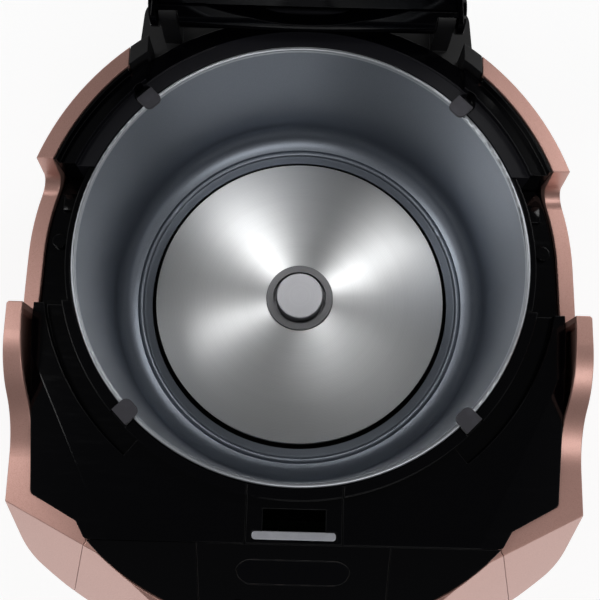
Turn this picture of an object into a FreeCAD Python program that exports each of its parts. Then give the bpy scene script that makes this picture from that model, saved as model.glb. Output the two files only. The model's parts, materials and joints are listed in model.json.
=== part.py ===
"""Rice cooker with its lid open and its pot taken out.

Millimetres, +Z up, the front towards -Y. The origin is on the pot well's axis, on the table.
The lid and all that it carries are drawn shut, then swung open about the hinge.
"""
import FreeCAD, Part
import math
import os

V = FreeCAD.Vector

# The pot well's mouth and the margins round it, which set the plan of all the rest
WELL_R = 120.0
WELL_MARGIN = 30.0
CREASE_MARGIN = 29.5
FRONT_DEPTH = 64.5
BODY_HALF_WIDTH = WELL_R + WELL_MARGIN
CREASE_Y = -WELL_R - CREASE_MARGIN
FRONT_REACH = FRONT_DEPTH - CREASE_Y

# Heights above the table, or above (rise) and below (drop) the rim of the pot well
RIM_Z = 180.0
HORN_RISE = 10.0
RECESS_DROP = 15.0
FRONT_DROP = 15.0
CREASE_DROP = 8.0
ROOF_DROP = 9.0
BELT_DROP = 75.0
BELT_Z = RIM_Z - BELT_DROP
FOOT_HEIGHT = 6.0
BASE_THICKNESS = 8.0

# Plan of the body
SIDE_TAPER = 2.5
SIDE_FRONT_X = BODY_HALF_WIDTH - SIDE_TAPER
SIDE_BEND_Y = -20.0
CORNER_TURN = 46.36
CORNER_STRAIGHT = 0.9
SIDE_CORNER_R = 24.0
FRONT_CORNER_R = 150.0
BASE_INSET = 16.0
PANEL_WALL = 3.0
FLANGE_WIDTH = 8.3
SEAM_GAP = 0.4

# Side panels: the top edge seen from the side, and the slanted facet at the front corner
RECESS_REAR_Y = 46.0
RECESS_FRONT_Y = -33.0
RECESS_FILLET = 10.0
RECESS_LEAN = 2.0
SWEEP_START = 101.5
SWEEP_START_Y = CREASE_Y + SWEEP_START
SWEEP_END = 39.5
SWEEP_END_Y = CREASE_Y + SWEEP_END
FACET_SIDE_INSET = 2.6
FACET_SIDE_X = BODY_HALF_WIDTH - FACET_SIDE_INSET
FACET_SIDE_BACK = 17.0
FACET_SIDE_Y = CREASE_Y + FACET_SIDE_BACK
FACET_FRONT_INSET = 35.7
FACET_FRONT_X = BODY_HALF_WIDTH - FACET_FRONT_INSET
FACET_FRONT_BACK = 0.5
FACET_FRONT_Y = CREASE_Y + FACET_FRONT_BACK
FACET_SPREAD = 30.0
FACET_FALL = 55.0
HORN_TIP_CUT = 7.0

# Sloping control area at the front, a shield bounded by an arc
FRONT_TILT = 40.0
SHIELD_INSET = 36.0
SHIELD_HALF_WIDTH = BODY_HALF_WIDTH - SHIELD_INSET
SHIELD_LENGTH = 70.0
SHIELD_SPREAD = 1.8
STRIP_WIDTH = 8.0
LEDGE_WIDTH = 6.0
SEAM_INSET = 45.0
SEAM_X = BODY_HALF_WIDTH - SEAM_INSET
SEAM_TOP_FORWARD = 1.5
SEAM_TOP_Y = CREASE_Y - SEAM_TOP_FORWARD
SEAM_SPLAY = 0.62
FASCIA_SINK = 0.8
FASCIA_THICKNESS = 3.0
CENTRE_HALF_WIDTH = 48.6
DISPLAY_HALF_WIDTH = 29.0
DISPLAY_HALF_DEPTH = 8.5
DISPLAY_DOWN = 20.0
DISPLAY_LIP = 1.5
KEY_COUNT = 5
KEY_R = 4.6
KEY_PITCH = 14.0
KEY_DOWN = 45.0
KEY_PROUD = 1.2
KEY_TRAVEL = 1.0
KEY_FLANGE = 1.2
KEY_FLANGE_HEIGHT = 1.6
BOARD_THICKNESS = 1.6
BOARD_HALF_WIDTH = 44.0
BOARD_UPPER_EDGE = 12.0

# Rear cover, hinge and power inlet
REAR_HALF_WIDTH = 98.0
HOUSING_DROP = 62.0
HOUSING_Z = RIM_Z - HOUSING_DROP
HINGE_INSET = 14.0
HINGE_Y = BODY_HALF_WIDTH - HINGE_INSET
HOUSING_SHOULDER = 24.0
HOUSING_SHOULDER_Y = HINGE_Y - HOUSING_SHOULDER
HOUSING_OVERHANG = 22.0
HOUSING_REAR_Y = HINGE_Y + HOUSING_OVERHANG
HOUSING_TAPER = 3.0
HOUSING_REAR_HALF = REAR_HALF_WIDTH - HOUSING_TAPER
HOUSING_R = 12.0
HINGE_RISE = 14.0
PIN_R = 3.0
PIN_FIT = 0.05
EAR_INSET = 26.0
EAR_X = REAR_HALF_WIDTH - EAR_INSET
EAR_WIDTH = 10.0
EAR_R = 8.0
EAR_GAP = 1.0
HINGE_SPRING_R = 5.4
HINGE_SPRING_WIRE = 1.5
HINGE_SPRING_TURNS = 6
HINGE_SPRING_LENGTH = 15.0
INLET_WIDTH = 30.0
INLET_HEIGHT = 24.0
INLET_DEPTH = 22.0
INLET_X = 40.0
INLET_Z = 48.0
INLET_PIN_R = 2.0

# Pot well, heating plate and sensor
WELL_TAPER = 3.0
WELL_LOW_R = WELL_R - WELL_TAPER
WELL_DEPTH = 101.0
WELL_WALL = 1.2
WELL_CORNER_R = 17.0
FLOOR_BELOW_PLATE = 4.0
BEAD_INSET = 15.5
BEAD_R = WELL_R - BEAD_INSET
BEAD_SECTION_R = 2.4
RIM_ROLL_R = 1.2
PLATE_INSET = 26.2
PLATE_R = WELL_R - PLATE_INSET
PLATE_GAP = 3.2
PLATE_THICKNESS = 10.0
PLATE_DOME = 2.0
ELEMENT_INSET = 27.8
ELEMENT_R = PLATE_R - ELEMENT_INSET
ELEMENT_SECTION_R = 5.0
ELEMENT_LEG = 14.0
ELEMENT_LEG_R = 3.5
FUSE_WIDTH = 26.0
FUSE_DEPTH = 10.0
FUSE_HEIGHT = 8.0
BAND_LOW_DROP = 68.0
BAND_LOW_Z = RIM_Z - BAND_LOW_DROP
BAND_HIGH_DROP = 34.0
BAND_HIGH_Z = RIM_Z - BAND_HIGH_DROP
BAND_THICKNESS = 1.5
FIT_GAP = 0.3
SENSOR_R = 15.0
SENSOR_RISE = 6.5
SENSOR_MOAT = 2.2
MOAT_DEPTH = 6.0
SENSOR_GUIDE = 5.7
SENSOR_TRAVEL = 5.0
SENSOR_WALL = 1.6
SLEEVE_R = 21.5
SLEEVE_RISE = 1.2
SPRING_ROOM = 9.3
SLEEVE_FLOOR = 2.0
SLEEVE_STEM_R = 8.0
SENSOR_SPRING_R = 9.0
SENSOR_SPRING_WIRE = 1.4
SENSOR_SPRING_TURNS = 5
POST_COUNT = 3
POST_R = 5.0
POST_INSET = 11.8
POST_CIRCLE_R = PLATE_R - POST_INSET
POST_START = 90.0
LEG_INSET = 19.0
LEG_CIRCLE_R = WELL_R - LEG_INSET
LEG_START = 30.0
SHIELD_CAN_WALL = 0.8

# Top deck
RIM_CLEARANCE = 0.5
DECK_FRONT_START_Y = -29.5
DECK_BEND_Y = -40.0
DECK_FRONT_INSET = 6.2
DECK_SIDE_BACK = 21.5
DECK_SIDE_Y = CREASE_Y + DECK_SIDE_BACK
DECK_JOG_INSET = 31.7
DECK_JOG_BACK = 8.5
DECK_JOG_Y = CREASE_Y + DECK_JOG_BACK
DECK_ROUND = 3.0
DECK_BOTTOM_DROP = 33.0
DECK_FLOOR = 3.0
RECESS_FLOOR_DROP = 18.0
DECK_SKIRT = 2.6
DECK_FRONT_DROP = 6.0
DECK_PLATE = 11.0
DECK_FOLD_REAR_Y = -53.0
DECK_FOLD_INSET = 40.7
DECK_FOLD_BACK = 16.5
DECK_FOLD_FRONT_Y = CREASE_Y + DECK_FOLD_BACK
DECK_FOLD_TILT = 15.0
COLLAR_WIDTH = 8.5
COLLAR_R = WELL_R + COLLAR_WIDTH
GROOVE_WIDTH = 10.5
GROOVE_R = COLLAR_R + GROOVE_WIDTH
GROOVE_DEPTH = 4.5
GROOVE_END = 39.0
LEDGE_RISE = 0.5
LEDGE_REACH = 12.0
LEDGE_R = WELL_R + LEDGE_REACH
STEP_RISE = 4.0
STEP_WIDTH = 8.0
STEP_R = LEDGE_R + STEP_WIDTH
REAR_WALL_RISE = 9.0
PAD_WIDTH = 10.5
PAD_OVERHANG = 3.0
PAD_BACK = 7.0
PAD_THICKNESS = 1.6
PAD_LEG = 4.0
PAD_ROUND = 3.4
PLUG_R = 4.0
PLUG_INSET = 7.7
PLUG_Y = 8.0
PLUG_HEIGHT = 2.5
STRIKE_HALF_WIDTH = 21.0
STRIKE_DEPTH = 4.0
STRIKE_HEIGHT = 4.0
STRIKE_ROUND = 1.6
SOCKET_HALF_WIDTH = 24.0
STRIKE_BACK = 4.0
STRIKE_Y = CREASE_Y + STRIKE_BACK

# Base
FOOT_R = 11.0
FOOT_X = 86.0
FOOT_FRONT_INSET = 64.0
FOOT_FRONT_Y = FOOT_FRONT_INSET - FRONT_REACH
FOOT_REAR_Y = 70.0
VENT_COUNT = 9
VENT_WIDTH = 3.0
VENT_LENGTH = 50.0
VENT_PITCH = 9.0
SCREW_R = 2.0
SCREW_HEAD_R = 3.8
SCREW_HEAD = 2.4
SCREW_X = 60.0
BOARD_Z = 34.0
POWER_BOARD_HALF = SCREW_X
POWER_BOARD_DEPTH = 36.0
POWER_BOARD_INSET = 54.0
POWER_BOARD_Y = POWER_BOARD_INSET - FRONT_REACH
STANDOFF_R = 3.5
TRANSFORMER = (40.0, 26.0, 30.0)
RELAY = (20.0, 16.0, 18.0)

# Lid, drawn shut
OPEN_ANGLE = 96.5
LID_RISE = 5.0
LID_TOP_RISE = 60.0
LID_WALL = 3.0
LID_SIDE_CLEARANCE = 3.7
LID_SIDE_INSET = 6.0
LID_SIDE_BACK = 31.5
LID_SIDE_Y = CREASE_Y + LID_SIDE_BACK
LID_FRONT_INSET = 46.0
LID_FRONT_FORWARD = 1.5
LID_FRONT_Y = CREASE_Y - LID_FRONT_FORWARD
LID_CORNER_R = 34.0
LID_ROUND = 24.0
LID_SKIRT_Y = -37.0
LID_SKIRT_DROP = 9.5
BLOCK_INSET = 11.0
CHEEK_GAP = 1.0
BLOCK_HALF_WIDTH = REAR_HALF_WIDTH - BLOCK_INSET
BLOCK_TAPER = 11.0
BLOCK_FRONT_HALF = BLOCK_HALF_WIDTH - BLOCK_TAPER
BLOCK_LENGTH = 48.0
BLOCK_FRONT_Y = HINGE_Y - BLOCK_LENGTH
BLOCK_SLOPE = 34.0
BLOCK_TOP_Y = HINGE_Y - BLOCK_SLOPE
BARREL_R = 10.0
LINER_THICKNESS = 3.0
LINER_SINK = 1.0
INNER_LID_INSET = 16.0
INNER_LID_R = WELL_R - INNER_LID_INSET
INNER_LID_THICKNESS = 1.2
GASKET_WIDTH = 5.0
GASKET_HEIGHT = 3.0
LID_SENSOR_R = 8.0
LID_SENSOR_HEIGHT = 2.0
VENT_FORWARD = 26.0
VENT_Y = BLOCK_FRONT_Y - VENT_FORWARD
VALVE_R = 16.0
VALVE_RISE = 6.0
VALVE_STEM_R = 9.0
TRIM_WIDTH = 4.0
TRIM_THICKNESS = 1.5
BUTTON_HALF_WIDTH = 22.0
BUTTON_HEIGHT = 14.0
BUTTON_RISE = 18.0
BUTTON_DEPTH = 8.0
BUTTON_PROUD = 2.0
BUTTON_TRAVEL = 4.0
BUTTON_ROUND = 1.6
HOOK_HALF_WIDTH = 15.0
HOOK_THICKNESS = 2.0
HOOK_LIP = 3.0
HOOK_GAP = 0.4
HOOK_STAND_OFF = 1.0
HOOK_PLAY = 1.0
LATCH_SPRING_R = 4.0
LATCH_SPRING_WIRE = 0.9
LATCH_SPRING_TURNS = 5
LATCH_SPRING_LENGTH = 14.0
LID_SCREW_ANGLES = (20.0, 160.0, 215.0, 325.0)

# Values that follow from those above
FAR = 600.0
TINY = 1e-6
SMALLEST_ROUND = 0.5
BASE_TOP = FOOT_HEIGHT + BASE_THICKNESS
HORN_TOP = RIM_Z + HORN_RISE
PLATE_Z = RIM_Z - WELL_DEPTH
PLATE_BOTTOM = PLATE_Z - PLATE_THICKNESS
FLOOR_Z = PLATE_Z - FLOOR_BELOW_PLATE
DECK_HALF_WIDTH = BODY_HALF_WIDTH - FLANGE_WIDTH
DECK_FRONT_HALF = DECK_HALF_WIDTH - DECK_FRONT_INSET
DECK_JOG_X = DECK_HALF_WIDTH - DECK_JOG_INSET
DECK_FOLD_FRONT_X = DECK_HALF_WIDTH - DECK_FOLD_INSET
PLUG_X = DECK_HALF_WIDTH - PLUG_INSET
SENSOR_SKIRT = SENSOR_RISE - SLEEVE_RISE + MOAT_DEPTH + SENSOR_GUIDE
SLEEVE_DEPTH = MOAT_DEPTH + SENSOR_GUIDE + SENSOR_TRAVEL + SPRING_ROOM
DECK_BORE_R = WELL_R + 2 * RIM_ROLL_R + RIM_CLEARANCE
DECK_BOTTOM = RIM_Z - DECK_BOTTOM_DROP
DECK_FRONT_Z = RIM_Z - DECK_FRONT_DROP
RECESS_FLOOR_Z = RIM_Z - RECESS_FLOOR_DROP
SHIELD_CAN_R = DECK_BORE_R + (DECK_SKIRT - SHIELD_CAN_WALL) / 2
HINGE = V(0, HINGE_Y, RIM_Z + HINGE_RISE)
LID_BOTTOM = RIM_Z + LID_RISE
LID_TOP = RIM_Z + LID_TOP_RISE
LINER_Z = LID_BOTTOM + LINER_SINK
LINER_TOP = LINER_Z + LINER_THICKNESS
SHIELD_R = (SHIELD_HALF_WIDTH ** 2 + SHIELD_LENGTH ** 2) / (2 * SHIELD_LENGTH)
SHIELD_CENTRE = SHIELD_R - SHIELD_LENGTH
PANEL_PLACE = FreeCAD.Placement(V(0, CREASE_Y, RIM_Z - CREASE_DROP), FreeCAD.Rotation(V(1, 0, 0), FRONT_TILT))
PANEL_NORMAL = PANEL_PLACE.Rotation.multVec(V(0, 0, 1))
FASCIA_BOTTOM = -FASCIA_SINK - FASCIA_THICKNESS
KEY_BOTTOM = FASCIA_BOTTOM - KEY_FLANGE_HEIGHT
BOARD_TOP = KEY_BOTTOM - 2 * KEY_TRAVEL
STRIKE_TOP = DECK_FRONT_Z - FIT_GAP
STRIKE_BACK_Y = STRIKE_Y + STRIKE_DEPTH / 2
HOOK_FRONT_Y = STRIKE_BACK_Y + HOOK_LIP + HOOK_STAND_OFF
HOOK_REAR_Y = HOOK_FRONT_Y + HOOK_THICKNESS + BUTTON_TRAVEL


# Basic forms
def box(x0, x1, y0, y1, z0, z1):
    """Block between two corners."""
    return Part.makeBox(x1 - x0, y1 - y0, z1 - z0, V(x0, y0, z0))


def cylinder(radius, z0, z1, x=0.0, y=0.0):
    """Upright cylinder."""
    return Part.makeCylinder(radius, z1 - z0, V(x, y, z0))


def ring(outer, inner, z0, z1):
    """Upright ring about the well's axis."""
    return cylinder(outer, z0, z1).cut(cylinder(inner, z0, z1))


def rod(radius, x0, x1, centre):
    """Cylinder along X through a centre's Y and Z."""
    return Part.makeCylinder(radius, x1 - x0, V(x0, centre.y, centre.z), V(1, 0, 0))


def torus(radius, section, z):
    """Round ring about the well's axis."""
    return Part.makeTorus(radius, section, V(0, 0, z))


def both_sides(shape):
    """A shape and its mirror image across the X = 0 plane."""
    return [shape, shape.mirror(V(0, 0, 0), V(1, 0, 0))]


def around(shape, angles):
    """Copies of a shape turned about the well's axis."""
    copies = []
    for angle in angles:
        copy = shape.copy()
        copy.rotate(V(0, 0, 0), V(0, 0, 1), angle)
        copies.append(copy)
    return copies


def union(shapes):
    """One shape from several that touch or overlap."""
    whole = shapes[0].fuse(shapes[1:]) if len(shapes) > 1 else shapes[0]
    return whole.removeSplitter()


def directions(corners, index):
    """A corner's point and rounding, with the directions in which the outline arrives and leaves."""
    x, y, radius = corners[index]
    before = corners[index - 1]
    after = corners[(index + 1) % len(corners)]
    arrive = V(x - before[0], y - before[1], 0).normalize()
    leave = V(after[0] - x, after[1] - y, 0).normalize()
    return V(x, y, 0), radius, arrive, leave


def left_of(direction):
    """Direction turned a quarter to the left."""
    return V(-direction.y, direction.x, 0)


def bend_of(arrive, leave):
    """1 where an outline turns to the left, -1 where it turns to the right."""
    return math.copysign(1.0, arrive.x * leave.y - arrive.y * leave.x)


def inset_corners(corners, inset):
    """Corners of an anticlockwise outline moved inwards, each rounding smaller by as much."""
    moved = []
    for index in range(len(corners)):
        point, radius, arrive, leave = directions(corners, index)
        first, second = left_of(arrive), left_of(leave)
        shift = (first + second) * (inset / (1 + first.dot(second)))
        smaller = radius - inset * bend_of(arrive, leave)
        moved.append((point.x + shift.x, point.y + shift.y, max(smaller, SMALLEST_ROUND)))
    return moved


def outline(corners, z):
    """Closed wire through corners, each (x, y, rounding), anticlockwise."""
    lift = V(0, 0, z)
    bends = []
    for index in range(len(corners)):
        point, radius, arrive, leave = directions(corners, index)
        half_turn = arrive.getAngle(leave) / 2
        reach = radius * math.tan(half_turn)
        inward = (left_of(arrive) + left_of(leave)).normalize()
        middle = point + inward * bend_of(arrive, leave) * (radius / math.cos(half_turn) - radius)
        bends.append((point - arrive * reach + lift, middle + lift, point + leave * reach + lift))
    edges = []
    for index, (start, middle, end) in enumerate(bends):
        edges.append(Part.Arc(start, middle, end).toShape())
        following = bends[(index + 1) % len(bends)][0]
        if end.distanceToPoint(following) > TINY:
            edges.append(Part.makeLine(end, following))
    return Part.Wire(edges)


def prism(corners, z0, z1):
    """Upright block with a rounded outline."""
    return Part.Face(outline(corners, z0)).extrude(V(0, 0, z1 - z0))


def beyond_plane(point, normal):
    """Large block on the far side of a plane."""
    block = Part.makeBox(2 * FAR, 2 * FAR, FAR, V(-FAR, -FAR, 0))
    block.Placement = FreeCAD.Placement(point, FreeCAD.Rotation(V(0, 0, 1), normal))
    return block


def along_x(edges, half_width):
    """Block from a closed side outline at X = 0, as wide as twice half_width."""
    face = Part.Face(Part.Wire(edges))
    face.translate(V(-half_width, 0, 0))
    return face.extrude(V(2 * half_width, 0, 0))


def side_lines(points):
    """Straight edges of a closed side outline from its (y, z) corners."""
    corners = [V(0, y, z) for y, z in points]
    return [Part.makeLine(a, b) for a, b in zip(corners, corners[1:] + corners[:1])]


def turned(points):
    """Solid of revolution about the well's axis from (radius, height) corners."""
    wire = Part.makePolygon([V(r, 0, z) for r, z in points + points[:1]])
    return Part.Face(wire).revolve(V(0, 0, 0), V(0, 0, 1), 360)


def coil(radius, wire, turns, length, base, axis):
    """Open spring of round wire, wound about an axis from tilted half turns that meet smoothly."""
    rise = (length - 2 * wire) / (2 * turns)
    halves = []
    for index in range(2 * turns):
        side = 1 - 2 * (index % 2)
        start = V(side * radius, 0, wire + rise * index)
        middle = V(0, 0, start.z + rise / 2)
        section = Part.Face(Part.Wire(Part.makeCircle(wire / 2, start, V(0, 1, 0))))
        halves.append(section.revolve(middle, V(side * rise / 2, 0, radius), 180))
    spring = union(halves)
    spring.Placement = FreeCAD.Placement(base, FreeCAD.Rotation(V(0, 0, 1), axis)).multiply(spring.Placement)
    return spring


def on_panel(shape):
    """Shape drawn flat about the crease's middle, laid on the sloping control area."""
    laid = shape.copy()
    laid.Placement = PANEL_PLACE.multiply(laid.Placement)
    return laid


def oval(half_width, half_depth, down, z0, z1):
    """Flat block with round ends, drawn on the control area."""
    corners = [(half_width, half_depth - down, half_depth), (-half_width, half_depth - down, half_depth)]
    corners += [(-half_width, -half_depth - down, half_depth), (half_width, -half_depth - down, half_depth)]
    return prism(corners, z0, z1)


def mirrored(corners):
    """Corners of an outline's right side, mirrored for its left side."""
    return [(-x, y, radius) for x, y, radius in reversed(corners)]


# Envelope of the body
def side_bend(half_width, front_x, front_y):
    """Corner where a side starts to lean in, rounded so that it just clears the round rear."""
    half_turn = math.atan2(half_width - front_x, SIDE_BEND_Y - front_y) / 2
    return half_width, SIDE_BEND_Y, (-SIDE_BEND_Y - CORNER_STRAIGHT) / math.tan(half_turn)


def body_corners():
    """Plan of the body at its belt."""
    w = BODY_HALF_WIDTH
    rear = [(w, w, w), (-w, w, w)]
    turn = math.radians(CORNER_TURN)
    side_turn = math.pi / 2 - turn
    slant = FRONT_CORNER_R * math.tan(turn / 2) + SIDE_CORNER_R * math.tan(side_turn / 2) + CORNER_STRAIGHT
    front_x, side_y = SIDE_FRONT_X - slant * math.cos(turn), slant * math.sin(turn) - FRONT_REACH
    right = [(front_x, -FRONT_REACH, FRONT_CORNER_R), (SIDE_FRONT_X, side_y, SIDE_CORNER_R)]
    right += [side_bend(w, SIDE_FRONT_X, side_y)]
    return rear + mirrored(right) + right


def deck_corners(half_width):
    """Plan of the deck's opening in the side panels."""
    w = half_width
    rear = [(w, w, w), (-w, w, w)]
    narrower = w - DECK_HALF_WIDTH
    right = [(SEAM_X + narrower, CREASE_Y, DECK_ROUND), (DECK_JOG_X + narrower, DECK_JOG_Y, DECK_ROUND)]
    right += [(DECK_FRONT_HALF + narrower, DECK_SIDE_Y, DECK_ROUND), (w, DECK_BEND_Y, -DECK_BEND_Y)]
    return rear + mirrored(right) + right


def body_column(inset):
    """Body with its tapering foot, before its top is shaped."""
    corners = inset_corners(body_corners(), inset)
    foot = outline(inset_corners(corners, BASE_INSET), BASE_TOP)
    lower = Part.makeLoft([foot, outline(corners, BELT_Z)], True, True)
    return lower.fuse(prism(corners, BELT_Z, HORN_TOP))


def sweep_middles(y0, z0, y1, z1):
    """Middles of the two arcs of an S that is level at both ends."""
    half_run = (y0 - y1) / 2
    half_fall = (z0 - z1) / 2
    radius = (half_run ** 2 + half_fall ** 2) / (2 * half_fall)
    quarter = math.atan2(half_run, radius - half_fall) / 2
    aside = radius * math.sin(quarter)
    down = radius * (1 - math.cos(quarter))
    return V(0, y0 - aside, z0 - down), V(0, y1 + aside, z1 + down)


def above_top_edge(drop):
    """All that lies above the side panels' top edge, lowered by drop."""
    horn = HORN_TOP - drop
    recess = RIM_Z - RECESS_DROP - drop
    front = RIM_Z - FRONT_DROP - drop
    rear_y = RECESS_REAR_Y + drop
    wall_y = RECESS_FRONT_Y - drop
    round_y = rear_y - RECESS_LEAN - RECESS_FILLET
    slant = RECESS_FILLET * math.sqrt(0.5)
    round_middle = V(0, round_y + slant, recess + RECESS_FILLET - slant)
    first, second = sweep_middles(SWEEP_START_Y, horn, SWEEP_END_Y, front)
    middle = V(0, (SWEEP_START_Y + SWEEP_END_Y) / 2, (horn + front) / 2)
    a, b = V(0, FAR, horn), V(0, rear_y, horn)
    c, d = V(0, rear_y - RECESS_LEAN, recess + RECESS_FILLET), V(0, round_y, recess)
    e, f = V(0, wall_y, recess), V(0, wall_y, horn)
    g, h = V(0, SWEEP_START_Y, horn), V(0, SWEEP_END_Y, front)
    edges = [Part.makeLine(a, b), Part.makeLine(b, c), Part.Arc(c, round_middle, d).toShape()]
    edges += [Part.makeLine(d, e), Part.makeLine(e, f), Part.makeLine(f, g)]
    edges += [Part.Arc(g, first, middle).toShape(), Part.Arc(middle, second, h).toShape()]
    i, j, k = V(0, -FAR, front), V(0, -FAR, FAR), V(0, FAR, FAR)
    edges += [Part.makeLine(h, i), Part.makeLine(i, j), Part.makeLine(j, k), Part.makeLine(k, a)]
    return along_x(edges, FAR)


def beyond_facet(side, inset):
    """All that lies outside the slanted facet of a front corner."""
    run_x = FACET_SIDE_X - FACET_FRONT_X
    run_y = FACET_SIDE_Y - FACET_FRONT_Y
    outward = V(side * run_y, -run_x, 0).normalize()
    normal = (outward * FACET_FALL + V(0, 0, FACET_SPREAD)).normalize()
    top = V(side * FACET_SIDE_X, FACET_SIDE_Y, RIM_Z - FRONT_DROP)
    return beyond_plane(top - normal * inset, normal)


def body_block(inset):
    """Whole body with its shaped top, smaller all round by inset."""
    block = body_column(inset).cut(above_top_edge(inset))
    for side in (-1, 1):
        block = block.cut(beyond_facet(side, inset))
    return block.cut(beyond_plane(PANEL_PLACE.Base - PANEL_NORMAL * inset, PANEL_NORMAL))


def shield_cone(inset):
    """Cone that slopes outwards from the arc of the control area."""
    radius = SHIELD_R - inset * math.hypot(1, SHIELD_SPREAD)
    rise = radius / (2 * SHIELD_SPREAD)
    depth = RIM_Z
    top_r, low_r = radius - SHIELD_SPREAD * rise, radius + SHIELD_SPREAD * depth
    return on_panel(Part.makeCone(low_r, top_r, depth + rise, V(0, SHIELD_CENTRE, -depth)))


def shield_disc(radius, z0, z1):
    """Flat part of the control area inside an arc, in front of an upright plane at the crease."""
    disc = cylinder(radius, z0, z1, 0, SHIELD_CENTRE)
    rearwards = PANEL_PLACE.Rotation.inverted().multVec(V(0, 1, 0))
    return disc.cut(beyond_plane(V(0, -SEAM_GAP, 0), rearwards))


def front_zone(grow):
    """Block that holds the front frame, bounded by its two splayed seams."""
    x = SEAM_X + grow
    reach = FRONT_REACH + SEAM_TOP_Y + FLANGE_WIDTH
    far_x = x + SEAM_SPLAY * reach
    points = [(-x, CREASE_Y - SEAM_GAP + grow), (-x, SEAM_TOP_Y), (-far_x, SEAM_TOP_Y - reach)]
    points += [(px * -1, py) for px, py in reversed(points)]
    wire = Part.makePolygon([V(px, py, 0) for px, py in points + points[:1]])
    return Part.Face(wire).extrude(V(0, 0, FAR))


# Outer panels
def side_panels():
    """Left and right rose-gold side panels."""
    shell = body_block(0).cut(body_block(PANEL_WALL))
    shell = shell.cut(prism(deck_corners(DECK_HALF_WIDTH), DECK_BOTTOM, FAR))
    shell = shell.cut(front_zone(SEAM_GAP))
    shell = shell.cut(box(-REAR_HALF_WIDTH, REAR_HALF_WIDTH, 0, FAR, 0, FAR))
    tip = V(DECK_HALF_WIDTH + HORN_TIP_CUT, RECESS_FRONT_Y, 0)
    shell = shell.cut(union(both_sides(horn_tip(tip))))
    right = shell.common(box(0, FAR, -FAR, FAR, 0, FAR))
    return right, right.mirror(V(0, 0, 0), V(1, 0, 0))


def horn_tip(corner):
    """Block that bevels the outer corner of a front horn's end wall."""
    width = BODY_HALF_WIDTH - corner.x
    points = [V(corner.x, corner.y, 0), V(corner.x + 2 * width, corner.y, 0)]
    points += [V(corner.x + 2 * width, corner.y - 2 * width, 0)]
    face = Part.Face(Part.makePolygon(points + points[:1]))
    return face.extrude(V(0, 0, FAR)).cut(box(-FAR, FAR, -FAR, FAR, 0, RIM_Z - RECESS_DROP))


def front_frame():
    """Rose-gold surround of the control area with the front wall below it."""
    outer = body_block(0).common(shield_cone(0)).common(front_zone(0))
    shell = outer.cut(body_block(PANEL_WALL).common(shield_cone(PANEL_WALL)))
    inner_r = SHIELD_R - STRIP_WIDTH
    shell = shell.cut(on_panel(shield_disc(inner_r, -SHIELD_LENGTH, FAR)))
    ledge = shield_disc(SHIELD_R, FASCIA_BOTTOM - PANEL_WALL, FASCIA_BOTTOM)
    ledge = ledge.fuse(shield_disc(SHIELD_R, FASCIA_BOTTOM, -PANEL_WALL / 2).cut(
        cylinder(inner_r, FASCIA_BOTTOM, 0, 0, SHIELD_CENTRE)))
    ledge = ledge.cut(cylinder(inner_r - LEDGE_WIDTH, -FAR, FAR, 0, SHIELD_CENTRE))
    return union([shell, on_panel(ledge).common(outer)])


def rear_cover():
    """Black rear wall with the hinge housing, its two ears and a cheek at each end of the lid's block."""
    roof = RIM_Z - ROOF_DROP
    half = REAR_HALF_WIDTH - SEAM_GAP
    slab = box(-half, half, 0, FAR, BASE_TOP, roof)
    housing = prism(housing_corners(0), HOUSING_Z, roof)
    outer = body_column(0).common(slab).fuse(housing)
    inside = body_column(PANEL_WALL).common(box(-FAR, FAR, -FAR, FAR, 0, roof - PANEL_WALL))
    hollow = prism(housing_corners(PANEL_WALL), HOUSING_Z + PANEL_WALL, roof - PANEL_WALL)
    cover = outer.cut(inside).cut(hollow)
    cover = cover.cut(cylinder(DECK_HALF_WIDTH + SEAM_GAP, DECK_BOTTOM, FAR))
    cover = cover.cut(inlet_block(FIT_GAP))
    cheek_x = BLOCK_HALF_WIDTH + CHEEK_GAP
    cheek = body_column(0).common(box(cheek_x, half, 0, FAR, roof - PANEL_WALL, HORN_TOP))
    cheek = cheek.cut(cylinder(DECK_HALF_WIDTH + SEAM_GAP, DECK_BOTTOM, FAR))
    ears = both_sides(hinge_ear(roof - PANEL_WALL)) + both_sides(cheek)
    return union([cover] + ears).cut(rod(PIN_R, -FAR, FAR, HINGE))


def housing_corners(inset):
    """Plan of the hinge housing behind the deck."""
    half = REAR_HALF_WIDTH - SEAM_GAP
    front_y = HOUSING_SHOULDER_Y - HOUSING_R
    right = [(half, front_y, SMALLEST_ROUND), (half, HOUSING_SHOULDER_Y, HOUSING_R)]
    rear = [(HOUSING_REAR_HALF, HOUSING_REAR_Y, HOUSING_R), (-HOUSING_REAR_HALF, HOUSING_REAR_Y, HOUSING_R)]
    left = [(-half, HOUSING_SHOULDER_Y, HOUSING_R), (-half, front_y, SMALLEST_ROUND)]
    return inset_corners(right + rear + left, inset)


def hinge_ear(foot_z):
    """One upright ear that holds the hinge pin."""
    post = box(EAR_X, EAR_X + EAR_WIDTH, HINGE.y - EAR_R, HINGE.y + EAR_R, foot_z, HINGE.z)
    return post.fuse(rod(EAR_R, EAR_X, EAR_X + EAR_WIDTH, HINGE))


def inlet_block(grow):
    """Power inlet's housing, larger all round by grow."""
    wall_y = BODY_HALF_WIDTH
    half = INLET_WIDTH / 2 + grow
    low, high = INLET_Z - INLET_HEIGHT / 2 - grow, INLET_Z + INLET_HEIGHT / 2 + grow
    return box(INLET_X - half, INLET_X + half, wall_y - 2 * INLET_DEPTH, wall_y - INLET_DEPTH / 2, low, high)


def power_inlet():
    """Socket for a power lead in the rear wall."""
    block = inlet_block(0)
    bound = block.BoundBox
    wall = PANEL_WALL
    mouth = box(bound.XMin + wall, bound.XMax - wall, bound.YMin + wall, bound.YMax,
                bound.ZMin + wall, bound.ZMax - wall)
    return block.cut(mouth)


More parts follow.
